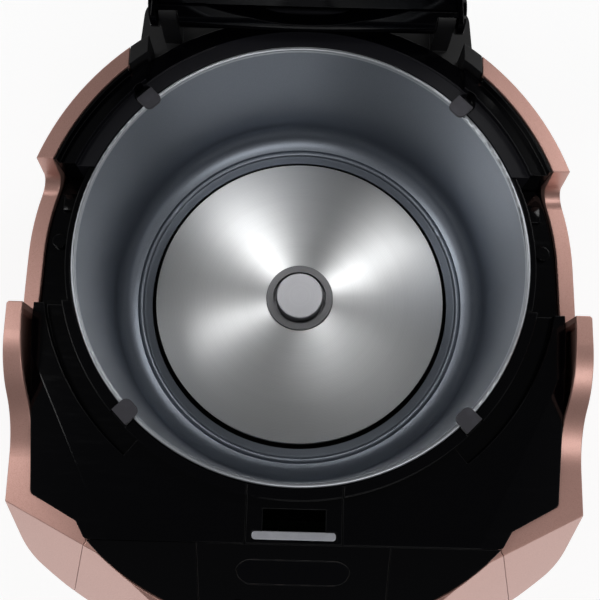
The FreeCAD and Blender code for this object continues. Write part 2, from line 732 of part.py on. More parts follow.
def inlet_pins():
    """Two contact pins standing in the power inlet."""
    bound = inlet_block(0).BoundBox
    base_y = bound.YMin + PANEL_WALL
    length = INLET_DEPTH
    pins = []
    for side in (-1, 1):
        start = V(INLET_X + side * INLET_WIDTH / 5, base_y, INLET_Z)
        pins.append(Part.makeCylinder(INLET_PIN_R, length, start, V(0, 1, 0)))
    return Part.makeCompound(pins)


def hinge_pin():
    """Steel pin through the ears and the lid's barrel."""
    half = BLOCK_HALF_WIDTH - LID_WALL
    return rod(PIN_R, -half, half, HINGE)


def hinge_springs():
    """Two springs wound round the hinge pin."""
    start = V(EAR_X - EAR_GAP - HINGE_SPRING_LENGTH, HINGE.y, HINGE.z)
    spring = coil(HINGE_SPRING_R, HINGE_SPRING_WIRE, HINGE_SPRING_TURNS, HINGE_SPRING_LENGTH, start, V(1, 0, 0))
    return Part.makeCompound(both_sides(spring))


# Control area
def fascia(x0, x1):
    """Part of the black fascia between two places across."""
    plate = shield_disc(SHIELD_R - STRIP_WIDTH - SEAM_GAP, FASCIA_BOTTOM, -FASCIA_SINK)
    return plate.common(box(x0, x1, -FAR, FAR, FASCIA_BOTTOM, 0))


def key_places():
    """Places of the keys across the control area."""
    return [KEY_PITCH * (index - (KEY_COUNT - 1) / 2) for index in range(KEY_COUNT)]


def centre_panel():
    """Middle of the fascia with the display's window, the keys' holes and its board's posts."""
    panel = fascia(-CENTRE_HALF_WIDTH, CENTRE_HALF_WIDTH)
    panel = panel.cut(oval(DISPLAY_HALF_WIDTH, DISPLAY_HALF_DEPTH, DISPLAY_DOWN, -FASCIA_THICKNESS, 0))
    lip_w, lip_d = DISPLAY_HALF_WIDTH - DISPLAY_LIP, DISPLAY_HALF_DEPTH - DISPLAY_LIP
    panel = panel.cut(oval(lip_w, lip_d, DISPLAY_DOWN, FASCIA_BOTTOM, 0))
    for x in key_places():
        panel = panel.cut(cylinder(KEY_R + FIT_GAP, FASCIA_BOTTOM, 0, x, -KEY_DOWN))
    post_x = BOARD_HALF_WIDTH - STANDOFF_R
    posts = [cylinder(STANDOFF_R, BOARD_TOP, FASCIA_BOTTOM, side * post_x, -DISPLAY_DOWN) for side in (-1, 1)]
    return on_panel(union([panel] + posts))


def display_window():
    """Oval lens over the display."""
    lens = oval(DISPLAY_HALF_WIDTH - FIT_GAP, DISPLAY_HALF_DEPTH - FIT_GAP, DISPLAY_DOWN,
                -FASCIA_THICKNESS, -FASCIA_SINK)
    return on_panel(lens)


def display_module():
    """Display on the control board, under the lens."""
    half_w, half_d = DISPLAY_HALF_WIDTH - 2 * DISPLAY_LIP, DISPLAY_HALF_DEPTH - 2 * DISPLAY_LIP
    return on_panel(box(-half_w, half_w, -half_d - DISPLAY_DOWN, half_d - DISPLAY_DOWN, BOARD_TOP, FASCIA_BOTTOM))


def control_board():
    """Circuit board behind the centre panel."""
    board = box(-BOARD_HALF_WIDTH, BOARD_HALF_WIDTH, -KEY_DOWN - KEY_R, -BOARD_UPPER_EDGE,
                BOARD_TOP - BOARD_THICKNESS, BOARD_TOP)
    return on_panel(board)


def key(x):
    """Push key with the flange that keeps it in its hole."""
    stem = cylinder(KEY_R, KEY_BOTTOM, KEY_PROUD - FASCIA_SINK, x, -KEY_DOWN)
    flange = cylinder(KEY_R + KEY_FLANGE, KEY_BOTTOM, FASCIA_BOTTOM - FIT_GAP, x, -KEY_DOWN)
    return on_panel(stem.fuse(flange))


# Pot well and what heats it
def well_form(grow):
    """Space inside the pot well, larger all round by grow."""
    low = FLOOR_Z - grow
    form = Part.makeCone(WELL_LOW_R + grow, WELL_R + grow, RIM_Z - low, V(0, 0, low))
    foot = [edge for edge in form.Edges if edge.BoundBox.ZMax < low + TINY]
    return form.makeFillet(WELL_CORNER_R + grow, foot)


def pot_well():
    """Aluminium well with a rolled rim, a bead round its floor and an opening for the plate."""
    shell = well_form(WELL_WALL).cut(well_form(0))
    roll = torus(WELL_R + RIM_ROLL_R, RIM_ROLL_R, RIM_Z)
    bead = torus(BEAD_R, BEAD_SECTION_R, FLOOR_Z - WELL_WALL / 2)
    bead = bead.cut(cylinder(WELL_R, FLOOR_Z - WELL_R, FLOOR_Z - WELL_WALL))
    opening = cylinder(PLATE_R + PLATE_GAP, FLOOR_Z - WELL_R / 4, FLOOR_Z + WELL_R / 4)
    return union([shell, roll, bead]).cut(opening)


def heating_plate():
    """Turned aluminium plate, slightly domed, with a groove below for its element."""
    hole_r = SLEEVE_R + FIT_GAP
    middle_r = (hole_r + PLATE_R) / 2
    middle_z = PLATE_Z + PLATE_DOME * (1 - (middle_r / PLATE_R) ** 2)
    hole_z = PLATE_Z + PLATE_DOME * (1 - (hole_r / PLATE_R) ** 2)
    crown = Part.Arc(V(PLATE_R, 0, PLATE_Z), V(middle_r, 0, middle_z), V(hole_r, 0, hole_z)).toShape()
    low_in, low_out = V(hole_r, 0, PLATE_BOTTOM), V(PLATE_R, 0, PLATE_BOTTOM)
    edges = [crown, Part.makeLine(V(hole_r, 0, hole_z), low_in), Part.makeLine(low_in, low_out)]
    edges += [Part.makeLine(low_out, V(PLATE_R, 0, PLATE_Z))]
    plate = Part.Face(Part.Wire(edges)).revolve(V(0, 0, 0), V(0, 0, 1), 360)
    return plate.cut(torus(ELEMENT_R, ELEMENT_SECTION_R + FIT_GAP / 3, PLATE_BOTTOM))


def heater_element():
    """Tubular heater half sunk in the plate, with its two legs."""
    tube = torus(ELEMENT_R, ELEMENT_SECTION_R, PLATE_BOTTOM)
    leg_y = 2 * ELEMENT_SECTION_R
    leg_x = math.sqrt(ELEMENT_R ** 2 - leg_y ** 2)
    legs = [cylinder(ELEMENT_LEG_R, PLATE_BOTTOM - ELEMENT_LEG, PLATE_BOTTOM, leg_x, y) for y in (-leg_y, leg_y)]
    return union([tube] + legs)


def spread(count, start):
    """Even angles round a circle."""
    return [start + 360 * index / count for index in range(count)]


def plate_posts():
    """Posts that carry the heating plate on the base."""
    post = cylinder(POST_R, BASE_TOP, PLATE_BOTTOM, POST_CIRCLE_R, 0)
    return Part.makeCompound(around(post, spread(POST_COUNT, POST_START)))


def well_legs():
    """Legs that carry the pot well on the base."""
    leg = cylinder(POST_R / 2, BASE_TOP, FLOOR_Z - WELL_WALL, LEG_CIRCLE_R, 0)
    return Part.makeCompound(around(leg, spread(POST_COUNT, LEG_START)))


def side_heater_band():
    """Keep-warm heater wrapped round the well."""
    inner = WELL_WALL + FIT_GAP
    band = well_form(inner + BAND_THICKNESS).cut(well_form(inner))
    return band.common(cylinder(2 * WELL_R, BAND_LOW_Z, BAND_HIGH_Z))


def heat_shield():
    """Thin metal can between the well and the outer panels, which carries the deck."""
    can = ring(SHIELD_CAN_R + SHIELD_CAN_WALL, SHIELD_CAN_R, BASE_TOP, DECK_BOTTOM)
    return can.cut(inlet_block(2 * FIT_GAP))


def sensor_top():
    """Height of the middle of the heating plate."""
    return PLATE_Z + PLATE_DOME


def sensor_sleeve():
    """Fixed guide of the sensor, with a closed floor and a stem down to the base."""
    top = sensor_top() + SLEEVE_RISE
    floor = top - SLEEVE_DEPTH
    bore_r = SENSOR_R + FIT_GAP
    tube = ring(SLEEVE_R, bore_r, floor, top).cut(cylinder(SENSOR_R + SENSOR_MOAT, top - MOAT_DEPTH, top))
    bottom = cylinder(SLEEVE_R, floor - SLEEVE_FLOOR, floor)
    return union([tube, bottom, cylinder(SLEEVE_STEM_R, BASE_TOP, floor - SLEEVE_FLOOR)])


def sensor_cap():
    """Sprung cap that touches the pot's bottom."""
    top = sensor_top() + SENSOR_RISE
    cap = cylinder(SENSOR_R, top - SENSOR_SKIRT, top)
    cap = cap.makeFillet(SENSOR_WALL / 2, [edge for edge in cap.Edges if edge.BoundBox.ZMin > top - TINY])
    return cap.cut(cylinder(SENSOR_R - SENSOR_WALL, top - SENSOR_SKIRT, top - SENSOR_WALL))


def sensor_spring():
    """Spring between the sleeve's floor and the cap."""
    floor = sensor_top() + SLEEVE_RISE - SLEEVE_DEPTH
    length = sensor_top() + SENSOR_RISE - SENSOR_WALL - floor
    return coil(SENSOR_SPRING_R, SENSOR_SPRING_WIRE, SENSOR_SPRING_TURNS, length, V(0, 0, floor), V(0, 0, 1))


def thermal_fuse():
    """Fuse held against the underside of the plate."""
    x = -(SLEEVE_R + ELEMENT_R - ELEMENT_SECTION_R) / 2
    half_x, half_y = FUSE_DEPTH / 2, FUSE_WIDTH / 2
    return box(x - half_x, x + half_x, -half_y, half_y, PLATE_BOTTOM - FUSE_HEIGHT, PLATE_BOTTOM)


# Top deck
def deck_slab(z0, z1, y0, y1):
    """Part of the deck's plan between two heights and two places along the body."""
    slab = prism(deck_corners(DECK_HALF_WIDTH - SEAM_GAP), z0, z1)
    return slab.cut(cylinder(DECK_BORE_R, z0, z1)).common(box(-FAR, FAR, y0, y1, z0, z1))


def well_skirt(y0, y1):
    """Part of the deck's wall round the well between two places along the body."""
    skirt = ring(DECK_BORE_R + DECK_SKIRT, DECK_BORE_R, DECK_BOTTOM, RIM_Z)
    return skirt.common(box(-FAR, FAR, y0, y1, 0, FAR))


def front_deck():
    """Polished moulding in front of the handle recesses, before it is parted at the latch."""
    end = DECK_FRONT_START_Y
    collar = ring(COLLAR_R, DECK_BORE_R, DECK_FRONT_Z, RIM_Z).common(box(-FAR, FAR, -FAR, end, 0, FAR))
    deck = union([deck_slab(DECK_BOTTOM, DECK_FRONT_Z, -FAR, end), collar, well_skirt(-FAR, end)])
    for cutter in front_cuts() + fold_cuts() + pad_pockets() + [front_hollow()]:
        deck = deck.cut(cutter)
    return deck


def latch_socket():
    """Middle of the front deck with the strike's seat and the slot for the hook."""
    return front_deck().common(box(-SOCKET_HALF_WIDTH, SOCKET_HALF_WIDTH, -FAR, 0, 0, FAR))


def side_decks():
    """Right and left front deck mouldings, each with its collar and groove."""
    right = front_deck().common(box(SOCKET_HALF_WIDTH + SEAM_GAP, FAR, -FAR, 0, 0, FAR))
    return both_sides(right)


def recess_trays():
    """Floors of the two handle recesses, each with its wall beside the well."""
    y0, y1 = DECK_FRONT_START_Y + SEAM_GAP, RECESS_REAR_Y - SEAM_GAP
    floors = deck_slab(RECESS_FLOOR_Z - DECK_FLOOR, RECESS_FLOOR_Z, y0, y1)
    return Part.makeCompound(union([floors, well_skirt(y0, y1)]).Solids)


def rear_ledge():
    """Satin moulding behind the well with its step and the wall beside the lid's hinge block."""
    top = RIM_Z + STEP_RISE
    ledge = union([deck_slab(DECK_BOTTOM, top, RECESS_REAR_Y, FAR), well_skirt(RECESS_REAR_Y, FAR)])
    for cutter in rear_cuts() + pad_pockets() + [rear_hollow()]:
        ledge = ledge.cut(cutter)
    wall = deck_slab(top, RIM_Z + REAR_WALL_RISE, RECESS_REAR_Y, FAR).cut(cylinder(STEP_R, top, FAR))
    notch_half = REAR_HALF_WIDTH + SEAM_GAP
    wall = wall.cut(box(-notch_half, notch_half, 0, FAR, 0, FAR))
    return union([ledge, wall])


def rear_cuts():
    """Cuts that leave the rear ledge, its step and the notch for the lid's hinge block."""
    ledge_z = RIM_Z + LEDGE_RISE
    rear = box(-FAR, FAR, RECESS_REAR_Y, FAR, ledge_z, FAR)
    ledge = rear.common(cylinder(LEDGE_R, ledge_z, FAR))
    notch_half = BLOCK_HALF_WIDTH + LID_SIDE_CLEARANCE / 2
    notch = box(-notch_half, notch_half, BLOCK_FRONT_Y - LID_SIDE_CLEARANCE, FAR, ledge_z, FAR)
    return [ledge, notch]


def front_cuts():
    """Cuts for the ring groove and for the latch strike and its hook."""
    floor = DECK_FRONT_Z - GROOVE_DEPTH
    groove = ring(GROOVE_R, COLLAR_R, floor, FAR).common(box(-FAR, FAR, -FAR, DECK_FRONT_START_Y, floor, FAR))
    reach = 2 * BODY_HALF_WIDTH
    side = reach * math.tan(math.radians(GROOVE_END))
    front = [V(0, 0, floor), V(-side, -reach, floor), V(side, -reach, floor)]
    wedge = Part.Face(Part.makePolygon(front + front[:1])).extrude(V(0, 0, FAR))
    half = STRIKE_HALF_WIDTH + FIT_GAP
    front_y = STRIKE_Y - STRIKE_DEPTH / 2 - FIT_GAP
    seat = box(-half, half, front_y, STRIKE_BACK_Y, STRIKE_TOP - STRIKE_HEIGHT, FAR)
    slot_half = HOOK_HALF_WIDTH + 2 * HOOK_GAP
    slot = box(-slot_half, slot_half, STRIKE_BACK_Y, HOOK_REAR_Y + 2 * HOOK_GAP, DECK_BOTTOM, FAR)
    return [groove.cut(wedge), seat, slot]


def fold_cuts():
    """Cuts that slope the deck down to the side panels at the front corners."""
    rear = V(DECK_HALF_WIDTH, DECK_FOLD_REAR_Y, DECK_FRONT_Z)
    run = V(DECK_FOLD_FRONT_X, DECK_FOLD_FRONT_Y, DECK_FRONT_Z) - rear
    outward = V(-run.y, run.x, 0).normalize()
    tilt = math.radians(DECK_FOLD_TILT)
    slope = beyond_plane(rear, outward * math.sin(tilt) + V(0, 0, math.cos(tilt)))
    return both_sides(slope.common(box(0, FAR, -FAR, RECESS_FRONT_Y, 0, DECK_FRONT_Z)))


def pad_pockets():
    """Pockets for the silicone pads, each with a round relief behind."""
    back = WELL_R + PAD_BACK + FIT_GAP
    half = PAD_WIDTH / 2 + FIT_GAP
    floor = RIM_Z - PAD_LEG - FIT_GAP
    pocket = box(WELL_R, back, -half, half, floor, FAR).fuse(cylinder(half, floor, FAR, back, 0))
    return around(pocket, spread(4, 45))


def deck_hollow(z1):
    """Space below the deck's plate, between its outer wall and its wall round the well."""
    plan = inset_corners(deck_corners(DECK_HALF_WIDTH - SEAM_GAP), DECK_FLOOR)
    return prism(plan, DECK_BOTTOM, z1).cut(cylinder(DECK_BORE_R + DECK_SKIRT, DECK_BOTTOM, z1))


def front_hollow():
    """Hollow below the front deck."""
    return deck_hollow(DECK_FRONT_Z - DECK_PLATE).common(
        box(-FAR, FAR, -FAR, DECK_FRONT_START_Y - DECK_FLOOR, 0, FAR))


def rear_hollow():
    """Hollow below the rear ledge."""
    return deck_hollow(RIM_Z + LEDGE_RISE - DECK_PLATE).common(
        box(-FAR, FAR, RECESS_REAR_Y + DECK_FLOOR, FAR, 0, FAR))


def pot_pads():
    """Four silicone pads that centre the pot on the rim."""
    low = RIM_Z + RIM_ROLL_R + FIT_GAP / 3
    half = PAD_WIDTH / 2
    inner, outer = WELL_R - PAD_OVERHANG, WELL_R + PAD_BACK
    top = box(inner, outer, -half, half, low, low + PAD_THICKNESS)
    leg = box(DECK_BORE_R, outer, -half, half, RIM_Z - PAD_LEG, low)
    pad = top.fuse(leg).removeSplitter()
    upright = [e for e in pad.Edges if e.Length < PAD_THICKNESS + TINY and e.BoundBox.XMax < WELL_R]
    return Part.makeCompound(around(pad.makeFillet(PAD_ROUND, upright), spread(4, 45)))


def recess_plugs():
    """Round plugs over the deck's screws in the handle recesses."""
    floor = RECESS_FLOOR_Z
    return Part.makeCompound(both_sides(cylinder(PLUG_R, floor, floor + PLUG_HEIGHT, PLUG_X, PLUG_Y)))


def latch_strike():
    """Bright bar with round ends that the lid's hook catches."""
    half, depth = STRIKE_HALF_WIDTH, STRIKE_DEPTH / 2
    low, high = STRIKE_Y - depth, STRIKE_Y + depth
    rounding = STRIKE_ROUND
    corners = [(half, high, rounding), (-half, high, rounding), (-half, low, rounding), (half, low, rounding)]
    return prism(corners, STRIKE_TOP - STRIKE_HEIGHT, STRIKE_TOP)


# Base
def foot_places():
    """Places of the four feet."""
    return [(x, y) for x in (-FOOT_X, FOOT_X) for y in (FOOT_FRONT_Y, FOOT_REAR_Y)]


def screw_places():
    """Places of the base's screws, beside the feet."""
    return [(x, y) for x in (-SCREW_X, SCREW_X) for y in (FOOT_FRONT_Y, FOOT_REAR_Y)]


def base_plate():
    """Bottom cover with vents and the posts of the power board."""
    corners = inset_corners(body_corners(), BASE_INSET)
    plate = prism(corners, FOOT_HEIGHT, BASE_TOP)
    first = -VENT_PITCH * (VENT_COUNT - 1) / 2
    for index in range(VENT_COUNT):
        x = first + index * VENT_PITCH
        slot = box(x - VENT_WIDTH / 2, x + VENT_WIDTH / 2, -VENT_LENGTH, -VENT_LENGTH / 5, FOOT_HEIGHT, BASE_TOP)
        plate = plate.cut(slot)
    for x, y in screw_places():
        plate = plate.cut(cylinder(SCREW_HEAD_R + FIT_GAP, FOOT_HEIGHT, FOOT_HEIGHT + SCREW_HEAD, x, y))
        plate = plate.cut(cylinder(SCREW_R, FOOT_HEIGHT, BASE_TOP, x, y))
    posts = []
    for x in (-1, 1):
        for y in (-1, 1):
            px = x * (POWER_BOARD_HALF - 2 * STANDOFF_R)
            py = POWER_BOARD_Y + y * (POWER_BOARD_DEPTH / 2 - 2 * STANDOFF_R)
            posts.append(cylinder(STANDOFF_R, BASE_TOP, BOARD_Z, px, py))
    return union([plate] + posts)


def feet():
    """Four rubber feet."""
    return Part.makeCompound([cylinder(FOOT_R, 0, FOOT_HEIGHT, x, y) for x, y in foot_places()])


def base_screws():
    """Screws that hold the base plate."""
    screws = []
    for x, y in screw_places():
        head = cylinder(SCREW_HEAD_R, FOOT_HEIGHT, FOOT_HEIGHT + SCREW_HEAD, x, y)
        screws.append(head.fuse(cylinder(SCREW_R, FOOT_HEIGHT, BASE_TOP, x, y)).removeSplitter())
    return Part.makeCompound(screws)


def power_board():
    """Circuit board on the base's posts."""
    half_y = POWER_BOARD_DEPTH / 2
    return box(-POWER_BOARD_HALF, POWER_BOARD_HALF, POWER_BOARD_Y - half_y, POWER_BOARD_Y + half_y,
               BOARD_Z, BOARD_Z + BOARD_THICKNESS)


def on_power_board(size, x):
    """Block of a given width, depth and height standing on the power board."""
    width, depth, height = size
    low = BOARD_Z + BOARD_THICKNESS
    return box(x - width / 2, x + width / 2, POWER_BOARD_Y - depth / 2, POWER_BOARD_Y + depth / 2, low, low + height)


# Lid, drawn shut
def lid_corners():
    """Plan of the lid."""
    w = DECK_HALF_WIDTH - LID_SIDE_CLEARANCE
    rear = [(w, w, w), (-w, w, w)]
    right = [(w - LID_FRONT_INSET, LID_FRONT_Y, LID_CORNER_R), (w - LID_SIDE_INSET, LID_SIDE_Y, LID_CORNER_R)]
    right += [side_bend(w, w - LID_SIDE_INSET, LID_SIDE_Y)]
    return rear + mirrored(right) + right


def lid_dome(inset, bottom):
    """Lid's main form with a rounded top edge, smaller all round by inset."""
    top = LID_TOP - inset
    dome = prism(inset_corners(lid_corners(), inset), bottom, top)
    edges = [edge for edge in dome.Edges if edge.BoundBox.ZMin > top - TINY]
    return dome.makeFillet(LID_ROUND - inset, edges)


def hinge_block(inset):
    """Block at the rear of the lid that reaches the hinge."""
    reach = BARREL_R - inset
    shoulder_z = LID_TOP - LID_ROUND / 2 - inset
    points = [(BLOCK_FRONT_Y, LID_BOTTOM), (HINGE.y, LID_BOTTOM), (HINGE.y, HINGE.z + reach)]
    points += [(BLOCK_TOP_Y, shoulder_z), (BLOCK_FRONT_Y, shoulder_z)]
    wide, narrow = BLOCK_HALF_WIDTH - inset, BLOCK_FRONT_HALF - inset
    plan = [V(wide, HINGE.y, 0), V(-wide, HINGE.y, 0), V(-narrow, BLOCK_FRONT_Y, 0), V(narrow, BLOCK_FRONT_Y, 0)]
    taper = Part.Face(Part.makePolygon(plan + plan[:1])).extrude(V(0, 0, FAR))
    return along_x(side_lines(points), BLOCK_HALF_WIDTH).common(taper)


def ear_slots():
    """Space that the hinge ears need as the lid turns about them."""
    reach = EAR_R + EAR_GAP
    x0, x1 = EAR_X - EAR_GAP, EAR_X + EAR_WIDTH + EAR_GAP
    slot = box(x0, x1, HINGE.y - reach, FAR, 0, HINGE.z + reach)
    pocket_r = HINGE_SPRING_R + HINGE_SPRING_WIRE / 2 + EAR_GAP
    pocket = rod(pocket_r, x0 - HINGE_SPRING_LENGTH - EAR_GAP, x0, HINGE)
    return both_sides(slot) + both_sides(pocket)


def lid_cover():
    """Black outer shell of the lid with its hinge barrel."""
    skirt_zone = box(-FAR, FAR, -FAR, LID_SKIRT_Y, 0, FAR)
    low = LID_BOTTOM - LID_SKIRT_DROP
    cover = lid_dome(0, LID_BOTTOM).fuse(hinge_block(0))
    cover = cover.fuse(prism(lid_corners(), low, LID_BOTTOM).common(skirt_zone))
    cover = cover.fuse(rod(BARREL_R, -BLOCK_HALF_WIDTH, BLOCK_HALF_WIDTH, HINGE))
    hollow = lid_dome(LID_WALL, low)
    cover = cover.cut(hollow)
    block_space = hinge_block(LID_WALL).cut(box(-FAR, FAR, HINGE.y - BARREL_R - LID_WALL, FAR, 0, FAR))
    cover = cover.cut(block_space)
    for cutter in ear_slots() + [button_block(HOOK_GAP, -FAR)]:
        cover = cover.cut(cutter)
    cover = cover.cut(cylinder(VALVE_STEM_R + FIT_GAP, LID_BOTTOM, FAR, 0, VENT_Y))
    return cover.cut(rod(PIN_R + PIN_FIT, -FAR, FAR, HINGE)).removeSplitter()


def lid_liner():
    """Black plate that closes the underside of the lid."""
    plate = prism(inset_corners(lid_corners(), LID_WALL + SEAM_GAP), LINER_Z, LINER_TOP)
    front = HINGE.y - BARREL_R - LID_WALL - SEAM_GAP
    tongue = hinge_block(LID_WALL + SEAM_GAP).common(box(-FAR, FAR, -FAR, FAR, LINER_Z, LINER_TOP))
    plate = plate.fuse(tongue).removeSplitter().common(box(-FAR, FAR, -FAR, front, 0, FAR))
    plate = plate.cut(cylinder(VALVE_STEM_R + FIT_GAP, LINER_Z, LINER_TOP, 0, VENT_Y))
    slot_half = HOOK_HALF_WIDTH + HOOK_GAP
    slot_y = HOOK_FRONT_Y - HOOK_LIP - HOOK_GAP
    slot_end = HOOK_REAR_Y + HOOK_GAP
    return plate.cut(box(-slot_half, slot_half, slot_y, slot_end, LINER_Z, LINER_TOP))


def inner_lid():
    """Metal plate on the lid's underside, above the pot."""
    z = LINER_Z - INNER_LID_THICKNESS
    disc = cylinder(INNER_LID_R, z, LINER_Z)
    vent = cylinder(VALVE_STEM_R / 2, z, LINER_Z, 0, VENT_Y)
    return disc.cut(vent)


def inner_lid_gasket():
    """Silicone ring round the inner lid."""
    return ring(INNER_LID_R + GASKET_WIDTH, INNER_LID_R, LINER_Z - GASKET_HEIGHT, LINER_Z)


def lid_sensor():
    """Small temperature button in the middle of the inner lid."""
    z = LINER_Z - INNER_LID_THICKNESS
    return cylinder(LID_SENSOR_R, z - LID_SENSOR_HEIGHT, z)


def steam_valve():
    """Steam valve's cap on the lid, with its tube down to the liner."""
    cap = cylinder(VALVE_R, LID_TOP, LID_TOP + VALVE_RISE, 0, VENT_Y)
    cap = cap.makeFillet(VALVE_RISE / 3, [e for e in cap.Edges if e.BoundBox.ZMin > LID_TOP + VALVE_RISE - TINY])
    stem = cylinder(VALVE_STEM_R, LINER_Z, LID_TOP, 0, VENT_Y)
    valve = cap.fuse(stem).removeSplitter()
    passage = cylinder(VALVE_STEM_R / 2, LINER_Z, LID_TOP + VALVE_RISE / 2, 0, VENT_Y)
    outlet = box(-VALVE_R / 3, VALVE_R / 3, VENT_Y - VENT_WIDTH / 2, VENT_Y + VENT_WIDTH / 2, LID_TOP, FAR)
    return valve.cut(passage).cut(outlet)


def vent_trim():
    """Rose-gold ring round the steam valve."""
    outer = cylinder(VALVE_R + FIT_GAP + TRIM_WIDTH, LID_TOP, LID_TOP + TRIM_THICKNESS, 0, VENT_Y)
    return outer.cut(cylinder(VALVE_R + FIT_GAP, LID_TOP, LID_TOP + TRIM_THICKNESS, 0, VENT_Y))


def button_block(grow, front_y):
    """Form of the lid's release button, larger by grow, from a place in front of the lid's wall."""
    half, low = BUTTON_HALF_WIDTH + grow, RIM_Z + BUTTON_RISE - grow
    high = RIM_Z + BUTTON_RISE + BUTTON_HEIGHT + grow
    return box(-half, half, front_y, LID_FRONT_Y - BUTTON_PROUD + BUTTON_DEPTH, low, high)


def lid_button():
    """Push button in the lid's front wall."""
    block = button_block(0, LID_FRONT_Y - BUTTON_PROUD)
    front = [e for e in block.Edges if e.BoundBox.YMax < LID_FRONT_Y - BUTTON_PROUD + TINY]
    return block.makeFillet(BUTTON_ROUND, front)


def latch_hook():
    """Steel hook behind the button, whose lip goes below the strike."""
    half, back = HOOK_HALF_WIDTH, HOOK_FRONT_Y + HOOK_THICKNESS
    lip_top = STRIKE_TOP - STRIKE_HEIGHT - HOOK_PLAY
    arm_low = RIM_Z + BUTTON_RISE + BUTTON_HEIGHT / 3
    arm_high = arm_low + HOOK_THICKNESS
    button_back = LID_FRONT_Y - BUTTON_PROUD + BUTTON_DEPTH
    plate = box(-half, half, HOOK_FRONT_Y, back, lip_top - HOOK_THICKNESS, arm_high)
    lip = box(-half, half, HOOK_FRONT_Y - HOOK_LIP, HOOK_FRONT_Y, lip_top - HOOK_THICKNESS, lip_top)
    arm = box(-half, half, button_back, back, arm_low, arm_high)
    return union([plate, lip, arm])


def spring_seat_y():
    """Place along the lid where the latch spring ends."""
    return HOOK_FRONT_Y + HOOK_THICKNESS + LATCH_SPRING_LENGTH


def latch_spring_post():
    """Post on the liner that the latch spring pushes against."""
    half = LATCH_SPRING_R + LATCH_SPRING_WIRE
    centre = latch_spring_z()
    return box(-half, half, spring_seat_y(), spring_seat_y() + LID_WALL, LINER_TOP, centre + half)


def latch_spring_z():
    """Height of the latch spring's axis."""
    return LINER_TOP + LATCH_SPRING_R + 2 * LATCH_SPRING_WIRE


def latch_spring():
    """Spring that pushes the hook and the button forwards."""
    start = V(0, HOOK_FRONT_Y + HOOK_THICKNESS, latch_spring_z())
    return coil(LATCH_SPRING_R, LATCH_SPRING_WIRE, LATCH_SPRING_TURNS, LATCH_SPRING_LENGTH, start, V(0, 1, 0))


def lid_screws():
    """Screws that hold the liner to the lid."""
    screws = []
    circle_r = DECK_HALF_WIDTH - LID_SIDE_CLEARANCE - 4 * LID_WALL
    for angle in LID_SCREW_ANGLES:
        x, y = circle_r * math.cos(math.radians(angle)), circle_r * math.sin(math.radians(angle))
        screws.append(cylinder(SCREW_HEAD_R, LINER_Z - SCREW_HEAD, LINER_Z, x, y))
    return Part.makeCompound(screws)


def swung_open(shape):
    """Shape of the shut lid, turned open about the hinge."""
    turned_open = shape.copy()
    turned_open.rotate(HINGE, V(1, 0, 0), -OPEN_ANGLE)
    return turned_open


# The whole object
def body_pieces():
    """Pieces of the body by node name."""
    right, left = side_panels()
    centre_edge = CENTRE_HALF_WIDTH + SEAM_GAP
    pieces = {"right_side_panel": right, "left_side_panel": left, "front_frame": front_frame()}
    pieces["rear_cover"] = rear_cover()
    pieces["power_inlet"] = power_inlet()
    pieces["inlet_pins"] = inlet_pins()
    pieces["hinge_pin"] = hinge_pin()
    pieces["hinge_springs"] = hinge_springs()
    pieces["left_fascia"] = on_panel(fascia(-FAR, -centre_edge))
    pieces["right_fascia"] = on_panel(fascia(centre_edge, FAR))
    pieces["centre_panel"] = centre_panel()
    pieces["display_window"] = display_window()
    pieces["display_module"] = display_module()
    pieces["control_board"] = control_board()
    for index, x in enumerate(key_places()):
        pieces["key_%d" % (index + 1)] = key(x)
    pieces["pot_well"] = pot_well()
    pieces["heating_plate"] = heating_plate()
    pieces["heater_element"] = heater_element()
    pieces["plate_posts"] = plate_posts()
    pieces["well_legs"] = well_legs()
    pieces["side_heater_band"] = side_heater_band()
    pieces["heat_shield"] = heat_shield()
    pieces["sensor_sleeve"] = sensor_sleeve()
    pieces["sensor_cap"] = sensor_cap()
    pieces["sensor_spring"] = sensor_spring()
    pieces["thermal_fuse"] = thermal_fuse()
    pieces["right_deck"], pieces["left_deck"] = side_decks()
    pieces["latch_socket"] = latch_socket()
    pieces["recess_trays"] = recess_trays()
    pieces["rear_ledge"] = rear_ledge()
    pieces["pot_pads"] = pot_pads()
    pieces["recess_plugs"] = recess_plugs()
    pieces["latch_strike"] = latch_strike()
    pieces["base_plate"] = base_plate()
    pieces["feet"] = feet()
    pieces["base_screws"] = base_screws()
    pieces["power_board"] = power_board()
    pieces["transformer"] = on_power_board(TRANSFORMER, -POWER_BOARD_HALF / 2)
    pieces["relay"] = on_power_board(RELAY, POWER_BOARD_HALF / 2)
    return pieces


def lid_pieces():
    """Pieces of the lid by node name, drawn shut."""
    pieces = {"lid_cover": lid_cover()}
    pieces["lid_liner"] = union([lid_liner(), latch_spring_post()])
    pieces["inner_lid"] = inner_lid()
    pieces["inner_lid_gasket"] = inner_lid_gasket()
    pieces["lid_sensor"] = lid_sensor()
    pieces["steam_valve"] = steam_valve()
    pieces["vent_trim"] = vent_trim()
    pieces["lid_button"] = lid_button()
    pieces["latch_hook"] = latch_hook()
    pieces["latch_spring"] = latch_spring()
    pieces["lid_screws"] = lid_screws()
    return pieces


def main():
    """Writes each piece to its own file."""
    os.makedirs("parts", exist_ok=True)
    pieces = body_pieces()
    for name, shape in lid_pieces().items():
        pieces[name] = swung_open(shape)
    for name, shape in pieces.items():
        bound = shape.BoundBox
        print("%-18s solids %d valid %s volume %.0f y %.1f..%.1f z %.1f..%.1f" % (
            name, len(shape.Solids), shape.isValid(), shape.Volume, bound.YMin, bound.YMax, bound.ZMin, bound.ZMax))
        shape.exportStep("parts/%s.step" % name)


main()
